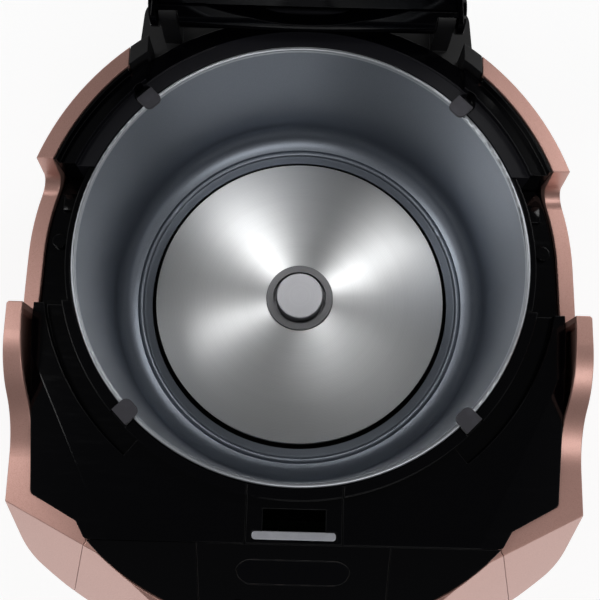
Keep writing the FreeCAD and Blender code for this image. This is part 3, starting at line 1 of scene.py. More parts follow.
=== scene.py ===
"""Looks of an open rice cooker: its finishes, its fine fittings, a plain studio and the camera.

Metres, +Z up, the front towards -Y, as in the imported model.
"""
import json
import logging
import math
from dataclasses import dataclass, field
from enum import Enum
from typing import Any, Dict, List, Optional, Sequence, Tuple, Union

import bmesh
import bpy
from mathutils import Matrix, Vector


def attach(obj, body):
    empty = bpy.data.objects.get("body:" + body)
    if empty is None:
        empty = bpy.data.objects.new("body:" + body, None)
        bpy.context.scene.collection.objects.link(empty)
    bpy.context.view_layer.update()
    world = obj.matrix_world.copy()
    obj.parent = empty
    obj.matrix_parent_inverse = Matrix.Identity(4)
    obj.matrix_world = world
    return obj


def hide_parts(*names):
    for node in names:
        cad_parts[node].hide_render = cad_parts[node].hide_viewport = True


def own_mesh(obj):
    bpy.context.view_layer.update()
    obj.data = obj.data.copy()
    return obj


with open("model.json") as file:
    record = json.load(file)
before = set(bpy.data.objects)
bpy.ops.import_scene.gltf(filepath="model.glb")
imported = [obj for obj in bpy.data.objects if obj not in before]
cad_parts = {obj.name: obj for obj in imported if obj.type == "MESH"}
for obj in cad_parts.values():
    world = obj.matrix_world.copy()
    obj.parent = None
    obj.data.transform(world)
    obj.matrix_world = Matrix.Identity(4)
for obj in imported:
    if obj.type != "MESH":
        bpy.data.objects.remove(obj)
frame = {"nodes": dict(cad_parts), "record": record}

Number = Union[int, float]
Colour = Tuple[float, float, float]
Settings = Optional[Dict[str, Any]]
Socket = bpy.types.NodeSocket

LOG = logging.getLogger("rice_cooker")
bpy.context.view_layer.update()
MILLIMETRE = 0.001
WHITE = (1.0, 1.0, 1.0)
# The hinge pin, seen in the gap of the hinge block, is painted near-black: painted shade in place of its lit
# metal.
REPAINTED = {"hinge_pin": "pin_oxide"}


def seen(red: Number, green: Number, blue: Number) -> Colour:
    """Turns a colour as the eye sees it into the linear values that a shader takes.

    Args:
        red: Red from 0 to 255.
        green: Green from 0 to 255.
        blue: Blue from 0 to 255.

    Returns:
        Linear red, green and blue from 0 to 1.
    """
    def linear(value: Number) -> float:
        """One channel made linear."""
        share = value / 255
        return share / 12.92 if share <= 0.04045 else ((share + 0.055) / 1.055) ** 2.4
    return linear(red), linear(green), linear(blue)


def placed(name: str, data: Any) -> bpy.types.Object:
    """Adds an object to the scene, at the origin and unturned.

    Args:
        name: The object's name.
        data: Its mesh, lamp or camera.

    Returns:
        The object.
    """
    made = bpy.data.objects.new(name, data)
    bpy.context.scene.collection.objects.link(made)
    return made


class Level:
    """One value of a shader, for use in Python expressions that add Math nodes."""

    def __init__(self, shade: "Nodes", socket: Socket) -> None:
        """Wraps a socket of a node tree."""
        self.shade = shade
        self.socket = socket

    def _math(self, operation: str, first: "Value", second: "Value") -> "Level":
        """Adds a Math node on two values."""
        node = self.shade.node("ShaderNodeMath", {"operation": operation}, {0: first, 1: second})
        return Level(self.shade, node.outputs[0])

    def __add__(self, other: "Value") -> "Level":
        """Sum."""
        return self._math("ADD", self, other)

    def __radd__(self, other: "Value") -> "Level":
        """Sum with a number in front."""
        return self._math("ADD", other, self)

    def __sub__(self, other: "Value") -> "Level":
        """Difference."""
        return self._math("SUBTRACT", self, other)

    def __rsub__(self, other: "Value") -> "Level":
        """Difference from a number in front."""
        return self._math("SUBTRACT", other, self)

    def __mul__(self, other: "Value") -> "Level":
        """Product."""
        return self._math("MULTIPLY", self, other)

    def __rmul__(self, other: "Value") -> "Level":
        """Product with a number in front."""
        return self._math("MULTIPLY", other, self)

    def __pow__(self, other: "Value") -> "Level":
        """Power."""
        return self._math("POWER", self, other)

    def sine(self) -> "Level":
        """Sine of the value in radians."""
        return self._math("SINE", self, 0.0)

    def rise(self, low: float, high: float) -> "Level":
        """Smooth step from 0 at low to 1 at high.

        Args:
            low: Value at which the step starts.
            high: Value at which it ends; less than low for a falling step.

        Returns:
            The step, from 0 to 1.
        """
        settings = {"interpolation_type": "SMOOTHSTEP"}
        inputs = {"Value": self, "From Min": low, "From Max": high}
        return self.shade.level("ShaderNodeMapRange", settings, inputs)


Value = Union[Level, Number]


class Nodes:
    """A node tree and the means to add to it."""

    def __init__(self, tree: bpy.types.NodeTree) -> None:
        """Starts from a tree."""
        self.tree = tree

    def node(self, kind: str, settings: Settings = None, inputs: Settings = None) -> bpy.types.Node:
        """Adds any node.

        Args:
            kind: Blender's name of the node's type.
            settings: The node's own settings.
            inputs: Values or links of its sockets, by name or by number.

        Returns:
            The node.
        """
        made = self.tree.nodes.new(kind)
        for name, value in (settings or {}).items():
            setattr(made, name, value)
        for name, value in (inputs or {}).items():
            self.feed(made.inputs[name], value)
        return made

    def feed(self, socket: Socket, value: Any) -> None:
        """Sets a socket's value or links it."""
        if isinstance(value, Level):
            self.tree.links.new(value.socket, socket)
        elif isinstance(value, Socket):
            self.tree.links.new(value, socket)
        elif isinstance(value, tuple) and len(value) == 3 and socket.type == "RGBA":
            socket.default_value = (*value, 1.0)
        else:
            socket.default_value = value

    def level(self, kind: str, settings: Settings = None, inputs: Settings = None, output: Any = 0) -> Level:
        """Adds a node and wraps one of its outputs as a value."""
        return Level(self, self.node(kind, settings, inputs).outputs[output])

    def split(self, place: Socket) -> Tuple[Level, Level, Level]:
        """The three coordinates of a place as values."""
        return tuple(Level(self, out) for out in self.node("ShaderNodeSeparateXYZ", None, {0: place}).outputs)


class Shade(Nodes):
    """Node tree of one finish."""

    def __init__(self, name: str) -> None:
        """Starts an empty material."""
        self.material = bpy.data.materials.new(name)
        self.material.use_nodes = True
        super().__init__(self.material.node_tree)
        self.tree.nodes.clear()
        self._place: Optional[Socket] = None

    def place(self) -> Socket:
        """Place on the piece, in the object's own coordinates."""
        if self._place is None:
            self._place = self.node("ShaderNodeTexCoord").outputs["Object"]
        return self._place

    def axes(self) -> Tuple[Level, Level, Level]:
        """The three coordinates of the place as values."""
        return self.split(self.place())

    def moved(self, location: Vector, turn: Vector, scale: Vector) -> Socket:
        """The place shifted, turned and stretched, to centre a pattern."""
        inputs = {"Vector": self.place(), "Location": location, "Rotation": turn, "Scale": scale}
        return self.node("ShaderNodeMapping", None, inputs).outputs[0]

    def noise(self, scale: float, detail: float = 2.0, place: Optional[Socket] = None) -> Level:
        """Soft noise from 0 to 1."""
        inputs = {"Vector": place or self.place(), "Scale": scale, "Detail": detail}
        return self.level("ShaderNodeTexNoise", None, inputs)

    def cells(self, scale: float) -> Level:
        """Distance to the nearest of many scattered points, in cells."""
        return self.level("ShaderNodeTexVoronoi", None, {"Vector": self.place(), "Scale": scale})

    def blend(self, share: Value, first: Any, second: Any) -> Socket:
        """Colour between two colours."""
        settings = {"data_type": "RGBA", "clamp_factor": True}
        return self.node("ShaderNodeMix", settings, {0: share, 6: first, 7: second}).outputs[2]

    def soft_edges(self, radius: float) -> Socket:
        """Surface direction with every edge rounded off."""
        return self.node("ShaderNodeBevel", {"samples": 6}, {"Radius": radius}).outputs[0]

    def relief(self, height: Level, depth: float, under: Optional[Socket] = None,
               strength: float = 1.0) -> Socket:
        """Surface direction with a fine relief.

        Args:
            height: Relief from 0 to 1.
            depth: Its depth in metres.
            under: Surface direction that it is laid on.
            strength: Share of the relief that shows.

        Returns:
            The new surface direction.
        """
        inputs: Dict[str, Any] = {"Height": height, "Distance": depth, "Strength": strength}
        if under is not None:
            inputs["Normal"] = under
        return self.node("ShaderNodeBump", None, inputs).outputs[0]

    def surface(self, **sockets: Any) -> bpy.types.Material:
        """Ends the tree in one surface, its sockets given in lower case with underscores."""
        shader = self.node("ShaderNodeBsdfPrincipled")
        names = {socket.name.lower().replace(" ", "_"): socket for socket in shader.inputs}
        for name, value in sockets.items():
            self.feed(names[name], value)
        self.node("ShaderNodeOutputMaterial", None, {"Surface": shader.outputs[0]})
        return self.material


class Sketch(Nodes):
    """Geometry-node tree of one fitting, with named inputs, that ends as a plain mesh."""

    def __init__(self, name: str) -> None:
        """Starts an empty tree with one output."""
        super().__init__(bpy.data.node_groups.new(name, "GeometryNodeTree"))
        self.name = name
        self.tree.interface.new_socket("Geometry", in_out="OUTPUT", socket_type="NodeSocketGeometry")
        self._entry = self.tree.nodes.new("NodeGroupInput")
        self._exit = self.tree.nodes.new("NodeGroupOutput")
        self._values: Dict[str, Any] = {}

    def entry(self, name: str, value: Any) -> Socket:
        """Adds a named input and keeps the value that it gets.

        Args:
            name: The input's name.
            value: A whole number, a length or a material.

        Returns:
            The socket to link from.
        """
        kinds = {int: "NodeSocketInt", float: "NodeSocketFloat"}
        kind = kinds.get(type(value), "NodeSocketMaterial")
        item = self.tree.interface.new_socket(name, in_out="INPUT", socket_type=kind)
        self._values[item.identifier] = value
        return self._entry.outputs[name]

    def shape(self, kind: str, settings: Settings = None, inputs: Settings = None) -> Socket:
        """Adds a node and gives its first output."""
        return self.node(kind, settings, inputs).outputs[0]

    def tube(self, path: Socket, radius: Socket, sides: int = 12) -> Socket:
        """Round rib along a curve."""
        inputs = {"Curve": path, "Profile Curve": self.circle(radius, sides), "Fill Caps": True}
        return self.shape("GeometryNodeCurveToMesh", None, inputs)

    def circle(self, radius: Any, corners: int) -> Socket:
        """Circle about the Z axis."""
        return self.shape("GeometryNodeCurvePrimitiveCircle", None, {"Resolution": corners, "Radius": radius})

    def arc(self, radius: Socket, start: float, sweep: float) -> Socket:
        """Arc about the Z axis, from an angle over a sweep, both in degrees."""
        inputs = {"Resolution": 48, "Radius": radius, "Start Angle": math.radians(start),
                  "Sweep Angle": math.radians(sweep)}
        return self.shape("GeometryNodeCurveArc", None, inputs)

    def lifted(self, shape: Socket, height: Socket) -> Socket:
        """Shape moved up."""
        offset = self.shape("ShaderNodeCombineXYZ", None, {"Z": height})
        return self.shape("GeometryNodeTransform", None, {"Geometry": shape, "Translation": offset})

    def joined(self, shapes: Sequence[Socket]) -> Socket:
        """Several shapes as one."""
        join = self.node("GeometryNodeJoinGeometry")
        for shape in shapes:
            self.tree.links.new(shape, join.inputs[0])
        return join.outputs[0]

    def finish(self, shape: Socket, material: bpy.types.Material,
               place: Matrix = Matrix.Identity(4)) -> bpy.types.Object:
        """Ends the tree, runs it once and keeps a plain mesh.

        Args:
            shape: What the tree makes.
            material: Its finish.
            place: Where it goes, in the row frame.

        Returns:
            The new object, at the origin and unturned.
        """
        smooth = self.shape("GeometryNodeSetShadeSmooth", None, {"Geometry": shape})
        whole = self.shape("GeometryNodeRealizeInstances", None, {"Geometry": smooth})
        inputs = {"Geometry": whole, "Material": self.entry("Finish", material)}
        self.tree.links.new(self.shape("GeometryNodeSetMaterial", None, inputs), self._exit.inputs[0])
        piece = placed(self.name, bpy.data.meshes.new(self.name))
        modifier = piece.modifiers.new("sketch", "NODES")
        modifier.node_group = self.tree
        for identifier, value in self._values.items():
            modifier[identifier] = value
        mesh = bpy.data.meshes.new_from_object(piece.evaluated_get(bpy.context.evaluated_depsgraph_get()))
        piece.modifiers.remove(modifier)
        mesh.transform(place)
        piece.data = mesh
        return piece


class Grain(Enum):
    """How a plain metal's surface was worked."""

    DRAWN = (40.0, 40.0, 900.0)
    BRUSHED = (900.0, 25.0, 900.0)
    TUMBLED = (500.0, 500.0, 500.0)


@dataclass(frozen=True)
class MetallicPaint:
    """Satin paint with fine metal flakes over smooth mouldings."""

    colour: Colour
    shadow: Colour
    metal: float = 0.7
    roughness: float = 0.34
    edge: float = 0.0008

    def make(self, name: str) -> bpy.types.Material:
        """Builds the material."""
        shade = Shade(name)
        flakes = shade.cells(2600.0)
        drift = shade.noise(9.0, 3.0)
        peel = shade.noise(420.0, 1.0)
        tone = shade.blend(flakes * 0.45 + drift * 0.2, self.colour, self.shadow)
        rough = self.roughness + (drift - 0.5) * 0.06 + flakes * 0.08
        normal = shade.relief(peel, 0.00002, shade.soft_edges(self.edge), 0.35)
        return shade.surface(base_color=tone, metallic=self.metal, roughness=rough, normal=normal,
                             coat_weight=0.3, coat_roughness=0.16)


@dataclass(frozen=True)
class PolishedPlastic:
    """Polished moulding with the faint wipe marks and dust that it gathers."""

    colour: Colour
    roughness: float = 0.09
    edge: float = 0.0006
    shine: float = 0.16
    dusty: float = 0.25

    def make(self, name: str) -> bpy.types.Material:
        """Builds the material."""
        shade = Shade(name)
        wipes = shade.noise(60.0, 6.0, shade.moved(Vector(), Vector((0, 0, 0.5)), Vector((1, 6, 1))))
        dust = shade.cells(420.0).rise(0.05, 0.02) * shade.noise(30.0).rise(0.56, 0.7)
        tone = shade.blend(dust * self.dusty, self.colour, seen(96, 96, 110))
        rough = self.roughness + wipes.rise(0.45, 0.8) * 0.06 + dust * 0.3
        normal = shade.relief(wipes, 0.00001, shade.soft_edges(self.edge), 0.2)
        return shade.surface(base_color=tone, roughness=rough, normal=normal, specular_ior_level=self.shine)


@dataclass(frozen=True)
class LedgePlastic:
    """Moulding behind the well: a satin ring beside the rim, the rest polished."""

    colour: Colour
    satin_colour: Colour
    satin_radius: float
    edge: float = 0.0006

    def make(self, name: str) -> bpy.types.Material:
        """Builds the material."""
        shade = Shade(name)
        x, y, _ = shade.axes()
        satin = ((x * x + y * y) ** 0.5).rise(self.satin_radius + 0.0004, self.satin_radius - 0.0004)
        texture = shade.noise(1500.0, 2.0)
        dust = shade.cells(380.0).rise(0.06, 0.03) * shade.noise(26.0).rise(0.54, 0.68)
        clean = shade.blend(satin, self.colour, self.satin_colour)
        tone = shade.blend(dust * 0.3, clean, seen(110, 110, 124))
        rough = 0.12 + satin * 0.3 + texture * 0.06 + dust * 0.2
        normal = shade.relief(texture * satin, 0.00006, shade.soft_edges(self.edge), 0.6)
        return shade.surface(base_color=tone, roughness=rough, normal=normal, specular_ior_level=0.2)


@dataclass(frozen=True)
class MouldedPlastic:
    """Matte moulding with a fine spark-eroded texture."""

    colour: Colour
    roughness: float = 0.5
    grain: float = 1600.0
    edge: float = 0.0007

    def make(self, name: str) -> bpy.types.Material:
        """Builds the material."""
        shade = Shade(name)
        texture = shade.noise(self.grain, 2.0)
        drift = shade.noise(14.0, 3.0)
        paler = tuple(min(1.0, value * 1.5 + 0.004) for value in self.colour)
        tone = shade.blend(drift * 0.5 + texture * 0.3, self.colour, paler)
        rough = self.roughness + (texture - 0.5) * 0.16 + (drift - 0.5) * 0.08
        normal = shade.relief(texture, 0.00005, shade.soft_edges(self.edge), 0.6)
        return shade.surface(base_color=tone, roughness=rough, normal=normal)


@dataclass(frozen=True)
class WellMetal:
    """Blasted aluminium of the pot well, with a fine speckle and a polished rolled rim whose lighter colour
    is a painted highlight.
    """

    colour: Colour
    rim_highlight_colour: Colour
    rim_z: float
    roughness: float = 0.36

    def make(self, name: str) -> bpy.types.Material:
        """Builds the material."""
        shade = Shade(name)
        _, _, z = shade.axes()
        rim = z.rise(self.rim_z - 0.0006, self.rim_z + 0.0002)
        speckle = shade.noise(2200.0, 1.0)
        cloud = shade.noise(18.0, 3.0)
        pale = tuple(min(1.0, 1.35 * value) for value in self.colour)
        tone = shade.blend(speckle.rise(0.35, 0.75) * 0.5 + cloud * 0.15, self.colour, pale)
        rough = self.roughness + (speckle - 0.5) * (1 - rim) * 0.2 + (cloud - 0.5) * 0.06
        normal = shade.relief(speckle * (1 - rim), 0.00003, None, 0.4)
        # The rim band's lighter colour is a painted highlight of the rolled rim's bright line; its smoother,
        # unspeckled surface is real polish.
        colour = shade.blend(rim, tone, self.rim_highlight_colour)
        return shade.surface(base_color=colour, metallic=0.92, roughness=rough, normal=normal)


@dataclass(frozen=True)
class TurnedMetal:
    """Metal turned on a lathe, with circular grooves about the upright axis."""

    colour: Colour
    pitch: float
    roughness: float = 0.36
    along: float = 0.88
    depth: float = 0.000008

    def make(self, name: str) -> bpy.types.Material:
        """Builds the material."""
        shade = Shade(name)
        x, y, _ = shade.axes()
        radius = (x * x + y * y) ** 0.5
        fine = (radius * (2 * math.pi / self.pitch)).sine() * 0.5 + 0.5
        lane = shade.node("ShaderNodeCombineXYZ", None, {"X": radius}).outputs[0]
        uneven = shade.noise(1500.0, 3.0, lane)
        broad = shade.noise(160.0, 2.0, lane)
        darker = tuple(0.7 * value for value in self.colour)
        tone = shade.blend(uneven * 0.35 + broad * 0.2 + fine * 0.2, self.colour, darker)
        rough = self.roughness + (uneven - 0.5) * 0.1 + (broad - 0.5) * 0.06
        normal = shade.relief(fine * 0.5 + uneven * 0.5, self.depth, None, 0.5)
        return shade.surface(base_color=tone, metallic=1.0, roughness=rough, normal=normal,
                             anisotropic=self.along, anisotropic_rotation=0.25)


@dataclass(frozen=True)
class WorkedMetal:
    """Plain metal with the marks of how it was worked."""

    colour: Colour
    grain: Grain = Grain.TUMBLED
    roughness: float = 0.3
    edge: float = 0.0004

    def make(self, name: str) -> bpy.types.Material:
        """Builds the material."""
        shade = Shade(name)
        marks = shade.noise(1.0, 4.0, shade.moved(Vector(), Vector(), Vector(self.grain.value)))
        cloud = shade.noise(40.0, 3.0)
        darker = tuple(0.6 * value for value in self.colour)
        tone = shade.blend(marks * 0.5 + cloud * 0.25, self.colour, darker)
        rough = self.roughness + (marks - 0.5) * 0.2 + (cloud - 0.5) * 0.1
        normal = shade.relief(marks, 0.00002, shade.soft_edges(self.edge), 0.4)
        return shade.surface(base_color=tone, metallic=1.0, roughness=rough, normal=normal)


@dataclass(frozen=True)
class Silicone:
    """Soft moulding with a dusty bloom."""

    colour: Colour
    bloom: Colour
    roughness: float = 0.6

    def make(self, name: str) -> bpy.types.Material:
        """Builds the material."""
        shade = Shade(name)
        bloom = shade.noise(160.0, 4.0)
        skin = shade.noise(1400.0, 1.0)
        tone = shade.blend(bloom.rise(0.4, 0.8) * 0.6, self.colour, self.bloom)
        rough = self.roughness + (bloom - 0.5) * 0.2
        normal = shade.relief(skin, 0.00003, shade.soft_edges(0.0005), 0.5)
        return shade.surface(base_color=tone, roughness=rough, normal=normal, sheen_weight=0.15)


@dataclass(frozen=True)
class BoardLacquer:
    """Green lacquer over a circuit board's copper tracks."""

    colour: Colour
    track: Colour

    def make(self, name: str) -> bpy.types.Material:
        """Builds the material."""
        shade = Shade(name)
        inputs = {"Vector": shade.place(), "Scale": 90.0, "Mortar Size": 0.03, "Brick Width": 1.4}
        tracks = shade.level("ShaderNodeTexBrick", None, inputs, "Fac")
        cloud = shade.noise(60.0, 2.0)
        tone = shade.blend(tracks * 0.8, shade.blend(cloud * 0.4, self.colour, self.track), self.track)
        normal = shade.relief(tracks, 0.00004, None, 0.5)
        return shade.surface(base_color=tone, roughness=0.28 + cloud * 0.2, normal=normal)


class Wardrobe:
    """All finishes of the cooker: one for each slot of the record, and the hinge pin's near-black painted
    shade.
    """

    def finishes(self) -> Dict[str, Any]:
        """Finish of each slot."""
        black = seen(3, 3, 5)
        return {
            "rose_gold": MetallicPaint(seen(226, 180, 168), seen(184, 132, 120)),
            "black_gloss": PolishedPlastic(black),
            "deck_black": PolishedPlastic(black, 0.11, 0.0008),
            "ledge_satin": LedgePlastic(black, seen(22, 22, 27), 0.132),
            "black_satin": MouldedPlastic(seen(11, 11, 13)),
            "lens_dark": PolishedPlastic(seen(2, 2, 5), 0.05),
            "display_dark": MouldedPlastic(seen(58, 62, 64)),
            "board_green": BoardLacquer(seen(20, 84, 48), seen(96, 140, 74)),
            # the well's second colour is the rim's painted highlight
            "well_aluminium": WellMetal(seen(126, 132, 141), seen(196, 200, 206), 0.179),
            "plate_aluminium": TurnedMetal(seen(222, 223, 224), 0.0009),
            "sensor_steel": TurnedMetal(seen(182, 182, 186), 0.0006, 0.5, 0.1),
            "sleeve_steel": TurnedMetal(seen(104, 104, 106), 0.0005, 0.42, 0.2),
            "lid_coating": MouldedPlastic(seen(10, 10, 12), 0.42),
            "strike_chrome": WorkedMetal(seen(236, 238, 246), Grain.TUMBLED, 0.36),
            "zinc_steel": WorkedMetal(seen(186, 188, 192), Grain.TUMBLED, 0.36),
            # near-black painted shade on the hinge pin, in place of its lit steel
            "pin_oxide": WorkedMetal(seen(26, 26, 29), Grain.TUMBLED, 0.55),
            "heater_steel": WorkedMetal(seen(120, 116, 114), Grain.TUMBLED, 0.5),
            "spring_steel": WorkedMetal(seen(168, 168, 172), Grain.DRAWN, 0.3),
            "pin_brass": WorkedMetal(seen(214, 180, 104), Grain.TUMBLED, 0.25),
            "pad_silicone": Silicone(seen(50, 49, 56), seen(70, 69, 78)),
            "gasket_silicone": Silicone(seen(24, 24, 25), seen(40, 40, 41), 0.5),
            "foot_rubber": Silicone(seen(30, 30, 31), seen(58, 57, 56), 0.75),
            "fuse_white": MouldedPlastic(seen(222, 218, 204), 0.6),
            "core_iron": WorkedMetal(seen(92, 92, 98), Grain.DRAWN, 0.5),
            "relay_black": MouldedPlastic(seen(32, 34, 42), 0.4),
        }


class Cabinet:
    """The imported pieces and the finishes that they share."""

    def __init__(self, nodes: Dict[str, bpy.types.Object], record: Dict[str, Any]) -> None:
        """Makes every finish once."""
        self.nodes = nodes
        self.slots = {part["node"]: part["material_slot"] for part in record["subparts"]}
        self.joints = {joint["name"]: joint for joint in record["behaviour"]["joints"]}
        finishes = Wardrobe().finishes()
        self.materials = {slot: finish.make(slot) for slot, finish in finishes.items()}

    def dress(self) -> None:
        """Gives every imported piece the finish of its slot, or its own where it is repainted."""
        for name, piece in self.nodes.items():
            finish = REPAINTED.get(name, self.slots[name])
            piece.data.materials.clear()
            piece.data.materials.append(self.materials[finish])
            LOG.info("%s: finish %s", name, finish)

    def settle(self, piece: bpy.types.Object, body: str, slot: str) -> None:
        """Lets a new piece ride on a body and logs the slot of its finish.

        Args:
            piece: The new piece, at the origin.
            body: Body that carries it.
            slot: The record's slot that its finish comes from.
        """
        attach(piece, body)
        LOG.info("%s: rides on %s, finish %s", piece.name, body, slot)

    def moulded(self, name: str, shape: bmesh.types.BMesh, body: str, slot: str) -> bpy.types.Object:
        """Makes a settled piece of an edited mesh, which is then freed.

        Args:
            name: The piece's name.
            shape: Its mesh.
            body: Body that carries it.
            slot: The record's slot that its finish comes from.

        Returns:
            The piece.
        """
        mesh = bpy.data.meshes.new(name)
        shape.to_mesh(mesh)
        shape.free()
        mesh.shade_smooth()
        mesh.materials.append(self.materials[slot])
        piece = placed(name, mesh)
        self.settle(piece, body, slot)
        return piece


@dataclass
class InnerLidRelief:
    """Dimples and ring beads pressed into the inner lid's underside."""

    cabinet: Cabinet
    face_z: float = 0.1848
    rings: Tuple[Tuple[float, int], ...] = ((0.089, 40), (0.048, 24))
    beads: Tuple[float, ...] = (0.076, 0.034)
    dimple: float = 0.0023
    flatness: float = 0.4
    bead: float = 0.0009
    hinge: Vector = field(default_factory=lambda: Vector((0, 0.136, 0.194)))
    opening: float = math.radians(-96.5)

    def build(self) -> None:
        """Makes the relief on the opened inner lid."""
        sketch = Sketch("inner_lid_relief")
        radius = sketch.entry("Dimple radius", self.dimple)
        ball = sketch.shape("GeometryNodeMeshUVSphere", None, {"Segments": 14, "Rings": 8, "Radius": radius})
        drop = sketch.shape("GeometryNodeTransform", None, {"Geometry": ball, "Scale": (1, 1, self.flatness)})
        shapes = [self._ring(sketch, drop, radius, count) for radius, count in self.rings]
        bead = sketch.entry("Bead radius", self.bead)
        for radius in self.beads:
            shapes.append(sketch.tube(sketch.circle(radius, 96), bead, 10))
        whole = sketch.lifted(sketch.joined(shapes), sketch.entry("Face height", self.face_z))
        turn = Matrix.Rotation(self.opening, 4, "X")
        opened = Matrix.Translation(self.hinge) @ turn @ Matrix.Translation(-self.hinge)
        piece = sketch.finish(whole, self.cabinet.materials["lid_coating"], opened)
        self.cabinet.settle(piece, "lid", "lid_coating")

    def _ring(self, sketch: Sketch, drop: Socket, radius: float, count: int) -> Socket:
        """Ring of equal dimples."""
        amount = sketch.entry("Dimples at %d mm" % round(radius / MILLIMETRE), count)
        points = sketch.shape("GeometryNodeMeshCircle", None, {"Vertices": amount, "Radius": radius})
        return sketch.shape("GeometryNodeInstanceOnPoints", None, {"Points": points, "Instance": drop})


@dataclass
class RearRibs:
    """Half-round louvre ribs on the rear cover, beside the power inlet."""

    cabinet: Cabinet
    low: float = 0.032
    pitch: float = 0.0075
    count: int = 8
    start: float = 98.0
    sweep: float = 27.0
    rib: float = 0.0011

    def build(self) -> None:
        """Makes the ribs on the cover's wall."""
        sketch = Sketch("rear_ribs")
        rib = sketch.entry("Rib radius", self.rib)
        heights = [self.low + index * self.pitch for index in range(self.count)]
        shapes = []
        for number, height in enumerate(heights, 1):
            wall = sketch.entry("Wall radius %d" % number, self._wall(height) - self.rib * 0.45)
            path = sketch.lifted(sketch.arc(wall, self.start, self.sweep), height)
            shapes.append(sketch.tube(path, rib))
        piece = sketch.finish(sketch.joined(shapes), self.cabinet.materials["black_satin"])
        self.cabinet.settle(piece, "body", "black_satin")

    def _wall(self, height: float) -> float:
        """Distance of the rear cover's wall from the well's axis at a height."""
        angle = math.radians(self.start + self.sweep / 2)
        out = Vector((math.cos(angle), math.sin(angle), 0))
        cover = self.cabinet.nodes["rear_cover"]
        _, place, _, _ = cover.ray_cast(out + Vector((0, 0, height)), -out)
        return place.xy.length


@dataclass
class KeyRings:
    """Thin painted rings on the five keys of the sloping panel."""

    cabinet: Cabinet
    count: int = 5
    pitch: float = 0.014
    down: float = 0.045
    face: float = 0.0004
    radius: float = 0.0034
    wire: float = 0.00022
    crease: Vector = field(default_factory=lambda: Vector((0, -0.1495, 0.172)))
    slope: float = math.radians(40.0)

    def build(self) -> None:
        """Makes one ring for each key, on that key's body."""
        panel = Matrix.Translation(self.crease) @ Matrix.Rotation(self.slope, 4, "X")
        for number in range(1, self.count + 1):
            sketch = Sketch("key_%d_ring" % number)
            radius = sketch.entry("Ring radius", self.radius)
            wire = sketch.entry("Wire radius", self.wire)
            ring = sketch.tube(sketch.circle(radius, 40), wire, 8)
            side = self.pitch * (number - (self.count + 1) / 2)
            place = panel @ Matrix.Translation((side, -self.down, self.face))
            piece = sketch.finish(ring, self.cabinet.materials["rose_gold"], place)
            self.cabinet.settle(piece, "key_%d" % number, "rose_gold")


@dataclass
class DeckTrim:
    """Fine beads beside the front groove and low lips on the rear ledge."""

    cabinet: Cabinet
    bead: float = 0.00035
    bead_radius: float = 0.1393
    bead_z: float = 0.174
    bead_arcs: Tuple[Tuple[float, float], ...] = ((195.0, 36.0), (309.0, 36.0))
    lip: float = 0.0006
    lip_radius: float = 0.1312
    lip_z: float = 0.1805
    lip_arcs: Tuple[Tuple[float, float], ...] = ((47.0, 20.0), (113.0, 20.0))

    def build(self) -> None:
        """Makes the beads and the lips."""
        self._arcs("deck_beads", "deck_black", self.bead, self.bead_radius, self.bead_z, self.bead_arcs)
        self._arcs("ledge_lips", "ledge_satin", self.lip, self.lip_radius, self.lip_z, self.lip_arcs)

    def _arcs(self, name: str, slot: str, thickness: float, radius: float, height: float,
              arcs: Sequence[Tuple[float, float]]) -> None:
        """Makes round ribs along arcs about the well.

        Args:
            name: Piece's name.
            slot: Slot of its finish.
            thickness: Radius of the rib.
            radius: Radius of the arcs.
            height: Height of the face that they lie on.
            arcs: Start and sweep of each arc, in degrees.
        """
        sketch = Sketch(name)
        rib = sketch.entry("Rib radius", thickness)
        path_radius = sketch.entry("Path radius", radius)
        shapes = [sketch.tube(sketch.arc(path_radius, *arc), rib, 8) for arc in arcs]
        whole = sketch.lifted(sketch.joined(shapes), sketch.entry("Face height", height))
        self.cabinet.settle(sketch.finish(whole, self.cabinet.materials[slot]), "body", slot)


@dataclass
class RecessCatches:
    """Small moulded catches on the floors of the two handle recesses."""

    cabinet: Cabinet
    place: Vector = field(default_factory=lambda: Vector((0.130, 0.031, 0.162)))
    size: Vector = field(default_factory=lambda: Vector((0.008, 0.010, 0.002)))
    edge: float = 0.0005

    def build(self) -> None:
        """Makes both catches as one piece."""
        shape = bmesh.new()
        for side in (-1, 1):
            middle = Vector((side * self.place.x, self.place.y, self.place.z + self.size.z / 2))
            matrix = Matrix.Translation(middle) @ Matrix.Diagonal((*self.size, 1.0))
            bmesh.ops.create_cube(shape, size=1.0, matrix=matrix)
        edges = list(shape.edges)
        bmesh.ops.bevel(shape, geom=edges, offset=self.edge, segments=3, profile=0.5, affect="EDGES")
        self.cabinet.moulded("recess_catches", shape, "body", "deck_black")


@dataclass
class PressedSprings:
    """The coil springs of the sensor and the latch, which shorten as these are pressed; the copies made here
    keep their packed length.
    """

    cabinet: Cabinet
    springs: Tuple[Tuple[str, str, str], ...] = (("sensor_spring", "sensor_press", "body"),
                                                 ("latch_spring", "latch_press", "lid"))
    merge: float = 1e-6

    def build(self) -> None:
        """Makes both springs."""
        for node, joint, body in self.springs:
            self._spring(node, joint, body)

    def _spring(self, node: str, joint: str, body: str) -> None:
        """Makes a merged copy of a packed spring and works out the share of its length that the joint's
        travel would leave; the copy itself is not shortened.

        Args:
            node: Packed spring that it stands for.
            joint: Joint that presses it.
            body: Body that carries its far end.
        """
        shape = bmesh.new()
        shape.from_mesh(self.cabinet.nodes[node].data)
        bmesh.ops.remove_doubles(shape, verts=shape.verts, dist=self.merge)
        piece = self.cabinet.moulded(node + "_coil", shape, body, self.cabinet.slots[node])
        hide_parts(node)
        press = Vector(self.cabinet.joints[joint]["axis"])
        travel = self.cabinet.joints[joint]["range_m"][1]
        along = [vertex.co.dot(press) for vertex in piece.data.vertices]
        keep = 1 - travel / (max(along) - min(along))
        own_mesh(piece)


